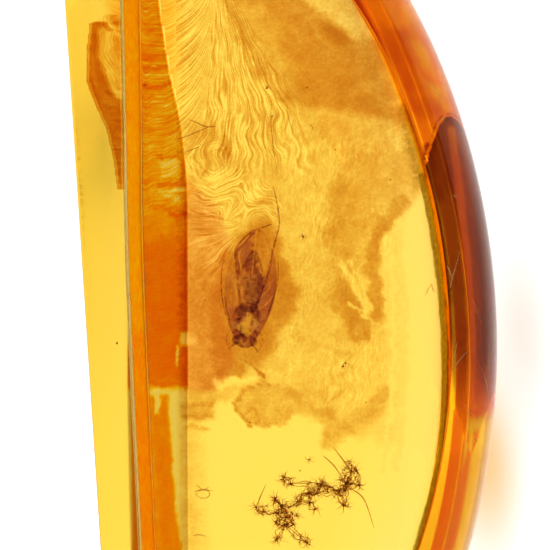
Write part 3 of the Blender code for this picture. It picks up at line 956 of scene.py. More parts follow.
RIM_REACH = 19.3
RIM_STEP = 0.08
RIM_END = -3.0  # no skin nearer to the straight side than this X
RIM_LEAST_SPAN = 0.36
RIM_INSET_X = 0.11
RIM_INSET_Z = 0.10
RIM_PAINTED_SKINS = (  # name, where along V it starts and ends at U, roughness, IOR, steps
    ("rim_haze", lambda u: -400.0, rim_arch, 0.22, 1.15, (0.45, 0.75, 3.2)),
    # painted shade: the dark skin over the round side's middle
    ("rim_painted_shade", rim_arch, rim_tip, 0.0, 1.0, (0.70, 0.92, 0.82)),
    # painted glow: the orange skin at the round side's lower end, for light through the stone
    ("rim_glow", rim_tip, lambda u: 700.0, 0.22, 1.15, (0.50, 1.0, 0.85)),
)
RINGED = ((458, 170), (474, 180), (486, 240), (490, 330), (484, 395), (472, 392), (470, 300))
RIM_PATCHES = (
    (((340, -90), (480, -90), (462, 122), (425, 122), (400, 60), (370, 20)), 0.1, 5.0),
    (((395, -90), (480, -90), (462, 122), (446, 116), (422, 50), (405, 20)), 0.6, 5.0),
    (((418, 78), (440, 72), (450, 92), (448, 112), (430, 112)), 0.2, 4.0),
    # painted shade: the dark maroon patches of the round side
    (((432, 137), (438, 123), (446, 116), (456, 120), (466, 138), (478, 180), (489, 230), (497, 290),
      (500, 340), (499, 385), (492, 412), (478, 428), (464, 440), (455, 420), (450, 380), (448, 340),
      (444, 300), (437, 250), (428, 200), (424, 160)), 3.9, 2.5),
    (((467, 150), (480, 190), (490, 240), (496, 300), (497, 370), (486, 408), (478, 380), (478, 300),
      (472, 220)), 5.6, 4.0),
    (((446, 440), (456, 420), (464, 440), (478, 428), (500, 400), (490, 500), (470, 600), (400, 600),
      (430, 500)), 0.45, 8.0),
)
# Dark and red streaks of painted shade, and a paler one along the outer edge
RIM_STREAKS = (
    (((427, 150), (426, 165), (429, 190), (434, 220), (440, 255), (446, 300)), 5.0, 3.5, 3.0),
    (((449, 132), (454, 165), (459, 210), (464, 260), (467, 300), (469, 350), (467, 405)), 1.9, 2.2, 4.5),
    (((431, 150), (434, 130), (440, 120), (447, 117), (455, 121), (460, 133)), 5.0, 1.2, 2.0),
    (((490, 225), (497, 285), (500, 350), (497, 400), (490, 450), (480, 510), (470, 560)), 0.6, 0.5, 3.0),
)


def edge_painted_shade():
    """Painted shade: the olive, speckled line just under the top face along its round edge."""
    rows = []
    for y in np.arange(*EDGE_SHADE_LENGTH, EDGE_SHADE_STEP):
        edge = right_limit(span_at(y), THICKNESS)
        spots = [(edge - away, float(y), THICKNESS - EDGE_SHADE_DROP) for away in np.linspace(*EDGE_SHADE_AWAY, 36)]
        rows.append([spot if within_stone(*spot, 0.05) else None for spot in spots])
    shade_line = grid_mesh("edge_painted_shade", rows)
    u, v = paint_haze(shade_line.data, 0.0, EDGE_SHADE_PATCHES, EDGE_SHADE_LINES, edge_noise=0.5)
    speckled = 1.3 * near_path(EDGE_SHADE_LINES[0][0], u, v, 3.0, 4.0) + inside(EDGE_SHADE_PATCHES[0][0], u, v, 7.0)
    add_vector(shade_line.data, "grain", (u / 0.9, v / 1.3, speckled))
    shade_line.data.materials.append(
        tint_material("edge_painted_shade", ("grain",), ((6000.0, 3.0, 0.5, 1.0),), 0.9, (0.85, 1.0, 1.9))
    )
    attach(shade_line, "root")


# Where the painted shade line under the top face's round edge lies, and its patches and line
EDGE_SHADE_LENGTH = (-18.0, 13.0)
EDGE_SHADE_AWAY = (1.3, 0.06)  # from the top face's round edge
EDGE_SHADE_DROP = 0.11
EDGE_SHADE_STEP = 0.05
EDGE_SHADE_PATCHES = (
    (((400, 108), (424, 100), (430, 140), (428, 175), (414, 190), (404, 150)), 1.2, 7.0),
    (((418, 74), (432, 72), (444, 88), (446, 108), (434, 112), (424, 96)), 0.35, 3.0),
)
EDGE_SHADE_LINES = (
    (((420, 178), (427, 210), (434, 250), (440, 300), (443, 350), (443, 400), (440, 450), (431, 490),
      (418, 535), (406, 580)), 2.6, 2.6, 1.8),
)


def fine_cracks():
    """Fine cracks just under the round side, which catch the light; their pale gold is a painted glint."""
    bm = bmesh.new()
    for width, path in FINE_CRACKS:
        spots = []
        for u, v in path:
            x, y = stone_place(u, v)
            span = span_at(y)
            out = (x - STRAIGHT_SIDE) / (WIDTH * span - RIM_INSET_X)
            crown = CROWN_DEPTH * span - RIM_INSET_Z
            height = GIRDLE_HEIGHT + crown * math.sqrt(max(0.0, 1.0 - out * out))
            spots.append((x, y, min(height, THICKNESS - 0.08)))
        route = smooth_route(spots, 6)
        add_tube(bm, route, spindle(len(route), width, 0.8), 5)
    made = object_from("fine_cracks", bm)
    glint, tree, shader = new_material("fine_cracks")
    shader.inputs["Roughness"].default_value = 0.45
    # painted glint: a pale gold that stands for light caught by the cracks
    gold = ramp(tree, grain(tree, 6000.0), (0.0, (0.98, 0.66, 0.20)), (1.0, (1.0, 0.86, 0.45)))
    tree.links.new(gold, shader.inputs["Base Color"])
    made.data.materials.append(glint)
    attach(made, "root")


FINE_CRACKS = (
    (0.022, ((446, 294), (449, 280), (453, 266), (457, 252))),
    (0.014, ((443, 262), (447, 272), (451, 281))),
    (0.020, ((447, 372), (455, 361), (465, 350))),
    (0.012, ((450, 367), (452, 352), (455, 340))),
    (0.040, ((451, 196), (453, 198.5))),
    (0.012, ((470, 300), (478, 322))),
    (0.012, ((462, 402), (470, 414))),
    (0.014, ((478, 366), (483, 380), (486, 396))),
    (0.014, ((426, 84), (430, 88), (433, 95))),
    (0.012, ((434, 92), (437, 99), (439, 108))),
)


def wall_flake():
    """The brown leaf-like flake that lies against the wall and is cut off by the narrow facet."""
    rows = []
    for v in np.arange(14.0, 190.0, 1.3):
        left = np.interp(v, *FLAKE_EDGE)
        row = []
        for u in np.arange(84.0, 124.0, 1.0):
            x, y = stone_place(float(u), float(v))
            (top_x, top_z), (low_x, low_z) = side_edges(y)[:2]
            z = top_z + (low_z - top_z) * (x - top_x) / (low_x - top_x)
            held = left < u and top_x < x < low_x - 0.02
            row.append((x + 0.04, y, z + 0.06) if held else None)
        rows.append(row)
    flake = grid_mesh("wall_flake", rows)
    u, v = paint_haze(flake.data, 0.0, FLAKE_PATCHES, FLAKE_LINES, edge_noise=1.0)
    shells = np.hypot(u - 128.0, (v - 40.0) * 0.6) + ripple(u, v, 14.0, 7.3) * 3.0
    add_vector(flake.data, "shells", (shells / 3.0, (u + v) / 40.0, np.full(u.shape, 0.7)))
    mottle = ((6000.0, 3.0, 0.4, 0.7), (2600.0, 4.0, 0.8, 0.5))
    flake.data.materials.append(tint_material("wall_flake", ("shells",), mottle, 0.7, (0.30, 1.0, 2.4)))
    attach(flake, "root")


# The flake's left edge: at V, U
FLAKE_EDGE = ((14, 24, 55, 85, 105, 130, 160, 200), (106, 92, 89, 90, 97, 108, 115, 120))
FLAKE_PATCHES = (
    (((91, 25), (105, 22), (124, 18), (124, 255), (119, 210), (114, 165), (106, 133), (95, 107),
      (88, 85), (88, 55)), 1.45, 1.5),
    (((97, 32), (108, 26), (124, 24), (124, 102), (112, 95), (106, 80), (100, 55)), 0.45, 3.0),
    (((109, 14), (124, 14), (124, 20), (110, 22)), 0.7, 2.0),
)
FLAKE_LINES = (
    (((97, 32), (100, 55), (106, 80), (112, 95), (122, 101)), 1.8, 0.8, 1.4),
    (((91, 25), (105, 22), (112, 30)), 1.6, 0.8, 1.2),
    (((109, 19), (115, 28), (122, 38)), 0.0, 0.8, 1.4),
    (((90, 60), (93, 90), (104, 120), (114, 150)), 1.8, 1.0, 3.0),
)


# ---------------------------------------------------------------- the planthopper


def insect_frame():
    return Matrix.Translation(INSECT_PLACE) @ Matrix.Rotation(math.radians(INSECT_TURN), 4, "Z")


def smooth_route(points, steps):
    """More points along a Catmull-Rom curve through points."""
    ends = [Vector(spot) for spot in (points[0], *points, points[-1])]
    route = []
    for before, here, there, after in zip(ends, ends[1:], ends[2:], ends[3:]):
        bend = 2 * before - 5 * here + 4 * there - after
        twist = 3 * here - before - 3 * there + after
        for t in (k / steps for k in range(steps)):
            route.append(0.5 * (2 * here + (there - before) * t + bend * t**2 + twist * t**3))
    route.append(ends[-1])
    return route


def tapered(count, thick, thin):
    """Radii that shrink evenly from thick to thin."""
    return [thick + (thin - thick) * k / (count - 1) for k in range(count)]


def spindle(count, thick, loss, middle=1.0, power=1):
    """Radii that are thickest in the middle and lose a share of that towards both ends."""
    return [thick * (1.0 - loss * abs(2 * k / (count - 1) - middle) ** power) for k in range(count)]


def add_tube(bm, route, radii, sides=6, tint_layer=None, tint=None):
    """A tube through route, with a radius for each of its points, closed at both ends."""
    normal = Vector((0.31, 0.22, 0.93))
    rings = []
    for k, (spot, radius) in enumerate(zip(route, radii)):
        ahead = route[min(k + 1, len(route) - 1)] - route[max(k - 1, 0)]
        if ahead.length < 1e-9:
            ahead = Vector((0, 0, 1))
        ahead.normalize()
        normal = (normal - ahead * normal.dot(ahead)).normalized()
        other = ahead.cross(normal)
        ring = []
        for j in range(sides):
            angle = 2 * math.pi * j / sides
            ring.append(bm.verts.new(spot + (normal * math.cos(angle) + other * math.sin(angle)) * radius))
        rings.append(ring)
    close_tube(bm, rings)
    if tint_layer is not None:
        for ring in rings:
            for vert in ring:
                vert[tint_layer] = (*tint, 1.0)


def close_tube(bm, rings):
    """The faces of a tube whose rings of vertices are there."""
    stitch(bm, rings, closed=True)
    bm.faces.new(list(reversed(rings[0])))
    bm.faces.new(rings[-1])


def add_blob(bm, centre, radii, tint_layer, tint, rough=0.0, seed=0.0, segments=36, rings=22):
    made = bmesh.ops.create_uvsphere(bm, u_segments=segments, v_segments=rings, radius=1.0)
    for vert in made["verts"]:
        bump = 1.0 + rough * noise.noise(vert.co * 2.6 + Vector((seed, 0, 0)))
        vert.co = Vector(centre) + Vector([c * r * bump for c, r in zip(vert.co, radii)])
        vert[tint_layer] = (*tint, 1.0)


MAROON = (0.74, 0.54, 0.72)
RUSSET = (0.92, 0.74, 0.78)
UMBER = (0.88, 0.74, 0.92)
STRAW = (0.97, 0.92, 0.74)
EYE_BROWN = (0.60, 0.38, 0.50)
FAINT_LEG = (0.98, 0.93, 0.95)
MID_LEG = (0.82, 0.60, 0.62)
HIND_LEG = (0.84, 0.60, 0.62)
BODY_LUMPS = (  # the thorax, the head and the collar behind it: centre, radii, tint, roughness, seed
    ((0.0, -1.0, -0.02), (0.52, 0.62, 0.36), UMBER, 0.05, 0.0),
    ((0.0, -1.80, -0.04), (0.40, 0.27, 0.26), MAROON, 0.06, 2.0),
    ((0.0, -1.50, 0.06), (0.48, 0.20, 0.27), MAROON, 0.05, 5.0),
)
EYE_PLACE = (0.33, -1.80, 0.0)
EYE_RADII = (0.14, 0.17, 0.15)
BEAK = ((0.0, -1.85, -0.2), (0.0, -1.5, -0.42), (0.0, -1.05, -0.44))
LEG_JOINTS = ((0.34, 0.12), (0.72, 0.10))  # how far along the leg, and how much thicker it is there
SPINE_CHANCE = 0.45
SPINE_SEED = 5
ABDOMEN_RINGS = 8.0


def mix_tints(first, second, share):
    return [a + (b - a) * share for a, b in zip(first, second)]


def mirrored(points):
    return tuple((-x, y, z) for x, y, z in points)


def add_abdomen(bm, tint_layer):
    """The segmented abdomen: each ring overlaps the next, with a paler edge."""
    rows, around = 72, 40
    grid = []
    for i in range(rows + 1):
        s = i / rows
        girth = 0.50 * math.sin(math.pi * (0.12 + 0.88 * s)) ** 0.75 if i < rows else 0.0
        step = (s * ABDOMEN_RINGS) % 1.0
        radius = girth * (0.95 + 0.09 * step**2)
        row = []
        for j in range(around):
            angle = 2 * math.pi * j / around
            height = radius * 0.78 * math.sin(angle) - ABDOMEN_DROP
            vert = bm.verts.new((radius * math.cos(angle), -0.75 + 2.35 * s, height))
            vert[tint_layer] = (*mix_tints(UMBER, RUSSET, ease(0.72, 0.98, step)), 1.0)
            row.append(vert)
        grid.append(row)
    close_tube(bm, grid)


def add_leg(bm, tint, points, colour, girth, chance):
    """A leg with thicker joints and fine spines."""
    leg = smooth_route(points, 7)
    last = len(leg) - 1
    radii = []
    for k in range(len(leg)):
        share = k / last
        joint = sum(swell * math.exp(-(((share - place) / 0.03) ** 2)) for place, swell in LEG_JOINTS)
        radii.append((LEG_RADIUS + (LEG_TIP_RADIUS - LEG_RADIUS) * share) * (girth + joint))
    add_tube(bm, leg, radii, 8, tint, colour)
    for k in range(5, last - 1):
        if chance.random() < SPINE_CHANCE:
            away = Vector((chance.uniform(-1, 1), chance.uniform(-1, 1), chance.uniform(-0.6, 0.6)))
            away = (away.normalized() + (leg[k + 1] - leg[k]).normalized() * 0.9).normalized()
            spine = [leg[k], leg[k] + away * 0.05, leg[k] + away * 0.095]
            add_tube(bm, spine, [0.011, 0.007, 0.002], 4, tint, UMBER)


def planthopper_body():
    bm = bmesh.new()
    tint = bm.verts.layers.float_color.new("tint")
    add_abdomen(bm, tint)
    for centre, radii, colour, rough, seed in BODY_LUMPS:
        add_blob(bm, centre, radii, tint, colour, rough, seed)
    for side in (1, -1):
        add_blob(bm, (side * EYE_PLACE[0], *EYE_PLACE[1:]), EYE_RADII, tint, EYE_BROWN, segments=28, rings=18)
        feeler = smooth_route(ANTENNA if side > 0 else mirrored(ANTENNA), 6)
        add_tube(bm, feeler, tapered(len(feeler), 0.045, 0.015), 8, tint, RUSSET)
    beak = smooth_route(BEAK, 6)
    add_tube(bm, beak, tapered(len(beak), 0.07, 0.035), 8, tint, UMBER)
    chance = random.Random(SPINE_SEED)
    for legs, colour, girth in (
        ((FORE_LEG, mirrored(FORE_LEG)), FAINT_LEG, 0.45),
        ((RIGHT_MID_LEG, LEFT_MID_LEG), MID_LEG, 0.60),
        ((RIGHT_HIND_LEG, LEFT_HIND_LEG), HIND_LEG, 0.78),
    ):
        for points in legs:
            add_leg(bm, tint, points, colour, girth, chance)
    bm.transform(insect_frame())
    paint_body(bm, tint)
    bmesh.ops.recalc_face_normals(bm, faces=bm.faces)
    body = object_from("planthopper", bm)
    body.data.materials.append(chitin_material())
    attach(body, "root")
    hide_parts("insect")
    return body


def paint_body(bm, tint):
    """Dark and pale parts of the body, as they lie seen from above."""
    places = np.array([photo_place(vert.co.x, vert.co.y) for vert in bm.verts])
    u, v = places[:, 0], places[:, 1]
    u = u + 0.8 * ripple(u, v, 5.0, 3.3)
    v = v + 0.8 * ripple(u, v, 5.0, 8.3)
    for polygon, colour, blotched, soft in BODY_PATCHES:
        for vert, share in zip(bm.verts, inside(polygon, u, v, soft)):
            if share > 0.001:
                vert[tint] = mix_tints(vert[tint], (*colour, blotched), share)


BODY_PATCHES = (
    (((230, 276), (243, 275), (246, 289), (244, 304), (235, 305), (230, 292)), (0.97, 0.88, 1.0),
      0.5, 2.0),
    (((247, 278), (256, 272), (264, 280), (263, 297), (256, 308), (248, 303), (246, 290)),
      (0.68, 0.57, 1.0), 1.0, 3.0),
    (((232, 304), (246, 308), (258, 304), (275, 296), (268, 320), (258, 322), (249, 311), (236, 328)),
      (0.68, 0.57, 1.0), 1.0, 3.0),
    (((222, 313), (238, 313), (234, 327), (222, 327)), (0.98, 0.90, 0.95), 0.3, 1.0),
    (((261, 312), (274, 312), (272, 327), (262, 327)), (0.98, 0.90, 0.95), 0.3, 1.0),
    (((232, 333), (238, 338), (247, 340), (257, 332), (258, 344), (246, 352), (233, 347)),
      (0.74, 0.56, 1.0), 1.0, 1.5),
    (((244, 243), (257, 245), (251, 249), (259, 253), (251, 257), (260, 262), (251, 266), (244, 262)),
      (0.76, 0.60, 0.90), 1.0, 1.2),
    (((249, 312), (259, 324), (248, 337), (236, 328)), (0.99, 0.96, 0.90), 0.0, 1.0),
)


def chitin_material():
    """Translucent brown horn: the painted tint, blotched and wrinkled finely, with a waxy gloss."""
    made, tree, shader = new_material("chitin")
    blotch = grain(tree, 7000.0, 4.0)
    blotches = ramp(tree, blotch, (0.36, (0.50, 0.42, 0.40)), (0.66, (1.25, 1.25, 1.25)))
    colour = mixed(tree, painted(tree, "tint", "Alpha"), painted(tree, "tint", "Color"), blotches, "MULTIPLY")
    tree.links.new(colour, shader.inputs["Base Color"])
    wrinkles = add_node(tree, "Bump", {"Strength": 0.5, "Distance": 0.00002, "Height": blotch})
    tree.links.new(wrinkles.outputs["Normal"], shader.inputs["Normal"])
    shader.inputs["Transmission Weight"].default_value = 0.96
    shader.inputs["Roughness"].default_value = 0.2
    shader.inputs["IOR"].default_value = 1.02
    return made


WING_PATCHES = (
    # the dark thorax seen through the wings, and the dark and russet blotches on them
    (((225, 298), (236, 304), (247, 309), (262, 303), (276, 294), (273, 312), (264, 328), (258, 338),
      (244, 342), (233, 340), (229, 322)), 1.5, 3.0),
    (((257, 273), (266, 276), (275, 284), (275, 299), (268, 312), (258, 316), (256, 300)), 1.9, 2.5),
    (((248, 300), (264, 298), (268, 306), (262, 317), (254, 314), (248, 308)), 1.9, 3.0),
    (((244, 276), (257, 273), (257, 300), (246, 302)), 0.75, 2.5),
    (((224, 276), (236, 272), (246, 276), (247, 292), (240, 306), (234, 312), (227, 306)), 0.85, 2.0),
    (((232, 280), (238, 278), (240, 284), (243, 290), (241, 302), (236, 298), (234, 289)), 0.15, 1.5),
    (((232, 306), (244, 306), (240, 316), (231, 320)), 1.8, 2.0),
    (((263, 280), (272, 258), (279, 262), (276, 284), (268, 288)), 1.2, 2.0),
    (((240, 252), (244, 242), (250, 240), (256, 245), (250, 248), (259, 252), (251, 256), (260, 262),
      (252, 266), (262, 270), (250, 276), (242, 268)), 1.7, 1.0),
    (((262, 230), (268, 236), (272, 246), (270, 259), (263, 277), (257, 268), (256, 252), (258, 240)),
      0.20, 1.5),
    (((249, 312), (260, 323), (248, 338), (235, 328)), 0.25, 1.0),
    (((251, 318), (259, 323), (254, 332), (250, 330)), 0.9, 1.0),
)
WING_BANDS = (
    (((223, 266), (222, 282), (224, 297), (227, 311), (230, 325), (233, 336)), 2.6, 0.4, 1.0),
    (((279, 260), (275, 285), (273, 299), (268, 314), (262, 325), (256, 340)), 2.2, 0.4, 1.2),
    (((239, 274), (237, 251), (242, 245), (251, 235), (264, 226)), 2.3, 0.7, 1.0),
    (((249, 313), (252, 295), (258, 280)), 0.5, 0.2, 0.8),
    (((251, 313), (262, 296), (270, 287)), 0.6, 0.2, 0.7),
    (((252, 315), (266, 304), (273, 296)), 0.7, 0.2, 0.7),
    (((247, 313), (243, 300), (241, 288)), 0.6, 0.2, 0.7),
    (((232, 330), (238, 318), (240, 296), (238, 284)), 1.3, 0.4, 1.2),
)
WING_ACROSS = 44
WING_ALONG = 110


def wings():
    """Both forewings as thin clear films, roofed over the abdomen, with raised veins."""
    bm = bmesh.new()
    vein_layer = bm.verts.layers.float_vector.new("veins")
    for side in (1, -1):
        grid = []
        for i in range(WING_ALONG + 1):
            along = i / WING_ALONG
            station = along * (len(WING_OUTER) - 1)
            outer = float(np.interp(station, range(len(WING_OUTER)), WING_OUTER))
            inner = float(np.interp(station, range(len(WING_INNER)), WING_INNER))
            outer *= 1.0 - ease(0.93, 1.0, along) * 0.35
            y = WING_START + (WING_END - WING_START) * along
            row = []
            for j in range(WING_ACROSS + 1):
                out = j / WING_ACROSS
                slope = 1.0 - 0.55 * along**2
                vein = abs(math.sin(math.pi * out * 4.0)) ** 6 * (1.0 - 0.3 * along)
                cross = abs(math.sin(math.pi * (along * 7.0 + out * 0.8))) ** 14 * ease(0.35, 0.6, along)
                height = WING_ROOF * (1.0 - out**1.8) * slope + 0.012 * vein + 0.008 * cross
                vert = bm.verts.new((side * (inner + (outer - inner) * out), y, height))
                vert[vein_layer] = (out * 16.0, along * 3.0, 0.55 + 0.35 * vein)
                row.append(vert)
            grid.append(row)
        stitch(bm, grid)
    bm.transform(insect_frame())
    bmesh.ops.recalc_face_normals(bm, faces=bm.faces)
    made = object_from("wings", bm)
    paint_haze(made.data, 0.50, WING_PATCHES, WING_BANDS, edge_noise=0.9, blush=lambda u, v: 0.1)
    film = tint_material("wing_film", ("veins",), ((3500.0, 3.0, 0.5, 0.5),), 0.55, (0.55, 1.1, 0.1))
    made.data.materials.append(film)
    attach(made, "root")


# The pale diamond: its corners, and the slits in it
SCUTELLUM = ((249.0, 313.0), (259.5, 324.0), (247.5, 337.0), (235.5, 328.0))
SLITS = (((241.5, 326.0), (240.5, 333.0)), ((252.5, 321.0), (251.0, 330.0)))
SCUTELLUM_STEPS = 30
SCUTELLUM_HEIGHT = 0.36  # above the insect's middle
SCUTELLUM_THICKNESS = 0.06


def scutellum(horn):
    """The pale diamond between the wings' roots, with two dark slits in it."""
    bm = bmesh.new()
    tint = bm.verts.layers.float_color.new("tint")
    (u1, v1), (u2, v2), (u3, v3), (u4, v4) = SCUTELLUM
    rows = []
    for i in range(SCUTELLUM_STEPS + 1):
        a = i / SCUTELLUM_STEPS
        b = np.arange(SCUTELLUM_STEPS + 1) / SCUTELLUM_STEPS
        u = (1 - a) * ((1 - b) * u1 + b * u2) + a * ((1 - b) * u4 + b * u3)
        v = (1 - a) * ((1 - b) * v1 + b * v2) + a * ((1 - b) * v4 + b * v3)
        rim = np.minimum(np.minimum(a, 1 - a), np.minimum(b, 1 - b))
        groove = np.maximum(*(near_path(slit, u, v, 0.4, 1.3) for slit in SLITS))
        height = INSECT_PLACE[2] + SCUTELLUM_HEIGHT + 0.10 * np.minimum(1.0, rim * 6.0) ** 0.5 - 0.05 * groove
        dark = np.maximum(groove, (1.0 - ease(0.0, 0.12, rim)) * 0.5)
        row = []
        for x, y, z, share in zip(*stone_place(u, v), height, dark):
            vert = bm.verts.new((x, y, z))
            vert[tint] = (*mix_tints(STRAW, UMBER, share), share)
            row.append(vert)
        rows.append(row)
    stitch(bm, rows)
    bmesh.ops.recalc_face_normals(bm, faces=bm.faces)
    made = object_from("scutellum", bm)
    thick = made.modifiers.new("thick", "SOLIDIFY")
    thick.thickness = SCUTELLUM_THICKNESS * MM
    made.data.materials.append(horn)
    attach(made, "root")


# ---------------------------------------------------------------- the oak hairs


LAYOUT_SEED = 12
HAIR_SEED = 31
LOOSE_SEED = 77
STRANDS = 3  # in each thread


def crooked(start, end, chance, bend, count):
    """A route from start to end that wanders a little to the sides."""
    start, end = Vector(start), Vector(end)
    side = (end - start).cross(Vector((0, 0, 1)))
    side = side.normalized() if side.length > 1e-6 else Vector((1, 0, 0))
    sway, lift, kink = (chance.uniform(-bend, bend) for _ in range(3))
    route = []
    for k in range(count + 1):
        t = k / count
        bow = math.sin(math.pi * t)
        wave = math.sin(2.6 * math.pi * t) * (1 - t) * t * 4
        aside = side * (sway * bow + kink * 0.6 * wave)
        route.append(start.lerp(end, t) + aside + Vector((0, 0, lift * 0.6 * bow)))
    return route


def oak_star(bm, place, chance, rays, reach, width=0.020):
    """A stellate hair: stiff bent rays that stand out from a small knot."""
    turn = chance.uniform(0, 2 * math.pi)
    for k in range(rays):
        angle = turn + 2 * math.pi * (k + chance.uniform(-0.35, 0.35)) / rays
        rise = chance.uniform(-0.7, 0.7)
        length = reach * chance.uniform(0.45, 1.25)
        tip = place + Vector((math.cos(angle), math.sin(angle), rise * 0.6)) * length
        ray = crooked(place, tip, chance, 0.22 * length, 5)
        add_tube(bm, ray, tapered(len(ray), width, 0.18 * width), 5)
    knot = bmesh.ops.create_icosphere(bm, subdivisions=2, radius=width * 1.9)
    for vert in knot["verts"]:
        vert.co = place + vert.co * (1.0 + 0.5 * noise.noise(vert.co * 60.0 + place))


def scatter(chance, *reach):
    """A random step, as far as reach along each axis."""
    return Vector([chance.uniform(-far, far) for far in reach])


def oak_hairs():
    bm = bmesh.new()
    layout = random.Random(LAYOUT_SEED)
    chance = random.Random(HAIR_SEED)
    places = {}
    for key, (x, y) in STAR_HAIRS.items():
        places[key] = Vector((x, y, TANGLE_HEIGHT + layout.uniform(-TANGLE_SPREAD, TANGLE_SPREAD)))
    for place in places.values():
        oak_star(bm, place, chance, chance.randint(7, 11), 0.30)
    for thread in THREADS:
        for first, second in zip(thread, thread[1:]):
            for _ in range(STRANDS):
                route = crooked(places[first], places[second], chance, 0.14, 8)
                add_tube(bm, route, [0.016 + 0.005 * math.sin(1.7 * k) for k in range(9)], 6)
            middle = places[first].lerp(places[second], chance.uniform(0.25, 0.75))
            middle += scatter(chance, 0.1, 0.1, 0.08)
            oak_star(bm, middle, chance, chance.randint(3, 6), 0.24, 0.016)
    for u, v, spread, count in TANGLE_CLUMPS:
        for _ in range(count):
            angle, away = chance.uniform(0, 2 * math.pi), spread * chance.random() ** 0.7
            x, y = stone_place(u + away * math.cos(angle), v + away * math.sin(angle))
            place = Vector((x, y, TANGLE_HEIGHT + chance.uniform(-0.22, 0.22)))
            oak_star(bm, place, chance, chance.randint(4, 7), chance.uniform(0.20, 0.34), 0.013)
    for hair in LONG_HAIRS:
        route = smooth_route([(x, y, TANGLE_HEIGHT) for x, y in hair], 10)
        add_tube(bm, route, spindle(len(route), 0.026, 0.65, middle=0.9), 6)
    made = object_from("oak_hairs", bm)
    made.data.materials.append(hair_material())
    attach(made, "root")
    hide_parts("oak_hair_tangle")
    return made


def loose_bits(brown):
    """Single hairs, crumbs and small stars that lie about in the stone."""
    chance = random.Random(LOOSE_SEED)
    bm = bmesh.new()
    for width, path in LOOSE_HAIRS:
        route = smooth_route([(*stone_place(u, v), LOOSE_HEIGHT) for u, v in path], 8)
        add_tube(bm, route, spindle(len(route), width, 0.6, power=2), 6)
    for size, (u, v) in CRUMBS:
        made = bmesh.ops.create_icosphere(bm, subdivisions=2, radius=size)
        centre = Vector((*stone_place(u, v), LOOSE_HEIGHT))
        for vert in made["verts"]:
            vert.co = centre + vert.co * (1.0 + 0.6 * noise.noise(vert.co * (1.4 / size) + centre))
    for reach, (u, v) in LONE_STARS:
        oak_star(bm, Vector((*stone_place(u, v), LOOSE_HEIGHT)), chance, chance.randint(6, 9), reach, 0.016)
    made = object_from("loose_bits", bm)
    made.data.materials.append(brown)
    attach(made, "root")


LOOSE_HEIGHT = 4.6
LOOSE_HAIRS = (
    (0.020, ((189, 120), (197, 123), (206, 127), (216, 127))),
    (0.018, ((175, 140), (186, 137), (200, 131), (213, 126))),
    (0.020, ((187, 152), (192, 150), (200, 147))),
    (0.012, ((272, 100), (271, 118), (273, 147), (278, 175))),
    (0.012, ((287, 108), (289, 120), (293, 133))),
    (0.014, ((309, 124), (312, 127), (313, 131))),
    (0.013, ((314, 181), (316, 186))),
    (0.018, ((194, 491), (203, 489.5), (213, 490))),
    (0.018, ((196, 494), (200, 489), (206, 489), (210, 493), (207, 497), (200, 497), (196, 493))),
    (0.014, ((203, 490), (199, 486), (197, 485))),
    (0.014, ((206, 489), (209, 486))),
    (0.016, ((193, 535), (200, 534), (207, 536))),
    (0.012, ((425, 295), (427, 290), (430, 285))),
    (0.014, ((430, 283), (433, 292))),
    (0.022, ((449, 436), (453, 439), (456, 441))),
    (0.014, ((450, 441), (454, 436))),
)
CRUMBS = (
    (0.045, (145, 86)), (0.06, (267, 88)), (0.035, (307, 88)), (0.035, (272, 117)), (0.05, (117, 343)),
    (0.03, (112, 346)), (0.03, (105, 428)), (0.03, (85, 145)), (0.035, (250, 422)), (0.03, (205, 300)),
    (0.03, (335, 150)), (0.025, (366, 402)), (0.03, (390, 180)), (0.03, (300, 470)), (0.02, (345, 440)),
)
LONE_STARS = (
    (0.22, (303, 237)), (0.17, (345, 363)), (0.20, (309, 459)), (0.12, (343, 366)),
)


def hair_material():
    made, tree, shader = new_material("oak_hair")
    browns = ramp(tree, grain(tree, 9000.0, 3.0), (0.35, (0.56, 0.27, 0.17)), (0.70, (0.88, 0.56, 0.38)))
    tree.links.new(browns, shader.inputs["Base Color"])
    shader.inputs["Transmission Weight"].default_value = 0.8
    shader.inputs["IOR"].default_value = 1.08
    shader.inputs["Roughness"].default_value = 0.4
    return made


# ---------------------------------------------------------------- floor, light and camera


def oval(tree, centre, radii, inner, outer):
    """1 within inner times the oval round the centre, and 0 outside outer times it."""
    shift = {
        "Vector": add_node(tree, "TexCoord").outputs["Object"],
        "Location": (*(-c / r for c, r in zip(centre, radii)), 0.0),
        "Scale": (*(1.0 / (r * MM) for r in radii), 0.0),
    }
    place = add_node(tree, "Mapping", shift).outputs["Vector"]
    away = add_node(tree, "VectorMath", {0: place}, operation="LENGTH").outputs["Value"]
    fall = {"Value": away, "From Min": inner, "From Max": outer, "To Min": 1.0, "To Max": 0.0}
    return add_node(tree, "MapRange", fall, interpolation_type="SMOOTHSTEP").outputs["Result"]


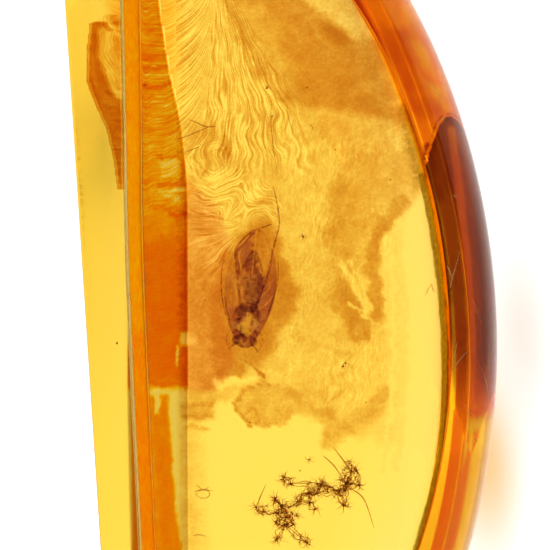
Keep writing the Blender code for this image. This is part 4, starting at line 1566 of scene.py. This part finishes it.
def light_table():
    """A pale lit table: brightest under and close around the stone, with a painted warm glow and a painted
    shadow beside its round side.
    """
    bpy.ops.mesh.primitive_grid_add(
        x_subdivisions=8, y_subdivisions=8, size=FLOOR_SIZE, location=(0, 0, -FLOOR_GAP * MM)
    )
    floor = bpy.context.object
    floor.name = "floor"
    made, tree, shader = new_material("floor")
    shader.inputs["Base Color"].default_value = (0.35, 0.35, 0.35, 1.0)
    shader.inputs["Roughness"].default_value = 0.9
    shader.inputs["Emission Strength"].default_value = 1.0
    table = mixed(tree, oval(tree, *FLOOR_LIT), FLOOR_FAR, FLOOR_NEAR)
    # painted light: a warm glow of light through the stone, and a cooler painted shadow
    for centre, radii, colour in FLOOR_PAINTED_GLOW_AND_SHADOW:
        table = mixed(tree, oval(tree, centre, radii, 0.0, 1.0), table, colour)
    tree.links.new(table, shader.inputs["Emission Color"])
    floor.data.materials.append(made)


def sky():
    """Studio light in rings round the zenith, brighter on one side."""
    world = bpy.data.worlds.new("sky")
    bpy.context.scene.world = world
    world.use_nodes = True
    tree = world.node_tree
    background = tree.nodes["Background"]
    towards = add_node(tree, "TexCoord").outputs["Generated"]
    height = add_node(tree, "SeparateXYZ", {"Vector": towards}).outputs["Z"]
    rings = ramp(tree, height, *((place, (light, light, light)) for place, light in SKY_RINGS))
    tree.links.new(rings, background.inputs["Color"])
    lean = add_node(tree, "VectorMath", {0: towards, 1: SKY_LEAN}, operation="DOT_PRODUCT").outputs["Value"]
    strength = maths(tree, "MAXIMUM", maths(tree, "ADD", lean, SKY_STRENGTH), SKY_LEAST)
    tree.links.new(strength, background.inputs["Strength"])


def camera():
    data = bpy.data.cameras.new("camera")
    data.lens = LENS
    data.sensor_width = SENSOR
    data.clip_start = 0.001
    data.clip_end = 10.0
    made = bpy.data.objects.new("camera", data)
    bpy.context.scene.collection.objects.link(made)
    distance = VIEW_WIDTH * LENS / SENSOR
    made.location = Vector((*VIEW_CENTRE, GIRDLE_HEIGHT + distance)) * MM
    made.rotation_euler = (0.0, 0.0, -math.radians(VIEW_TURN))
    bpy.context.scene.camera = made


stone = clear_stone()
stone.data.materials.append(amber_material())
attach(stone, "root")
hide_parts("amber_upper_half", "amber_lower_half")

flow_layer()
side_painted_skins()
low_sheet()
rim_painted_skins()
edge_painted_shade()
fine_cracks()
wall_flake()
body = planthopper_body()
wings()
scutellum(body.data.materials[0])
tangle = oak_hairs()
loose_bits(tangle.data.materials[0])

light_table()
sky()
camera()
scene = bpy.context.scene
scene.view_settings.view_transform = "Standard"
scene.cycles.max_bounces = LIGHT_BOUNCES
scene.cycles.transmission_bounces = LIGHT_BOUNCES
scene.cycles.glossy_bounces = LIGHT_BOUNCES
scene.cycles.transparent_max_bounces = LIGHT_BOUNCES
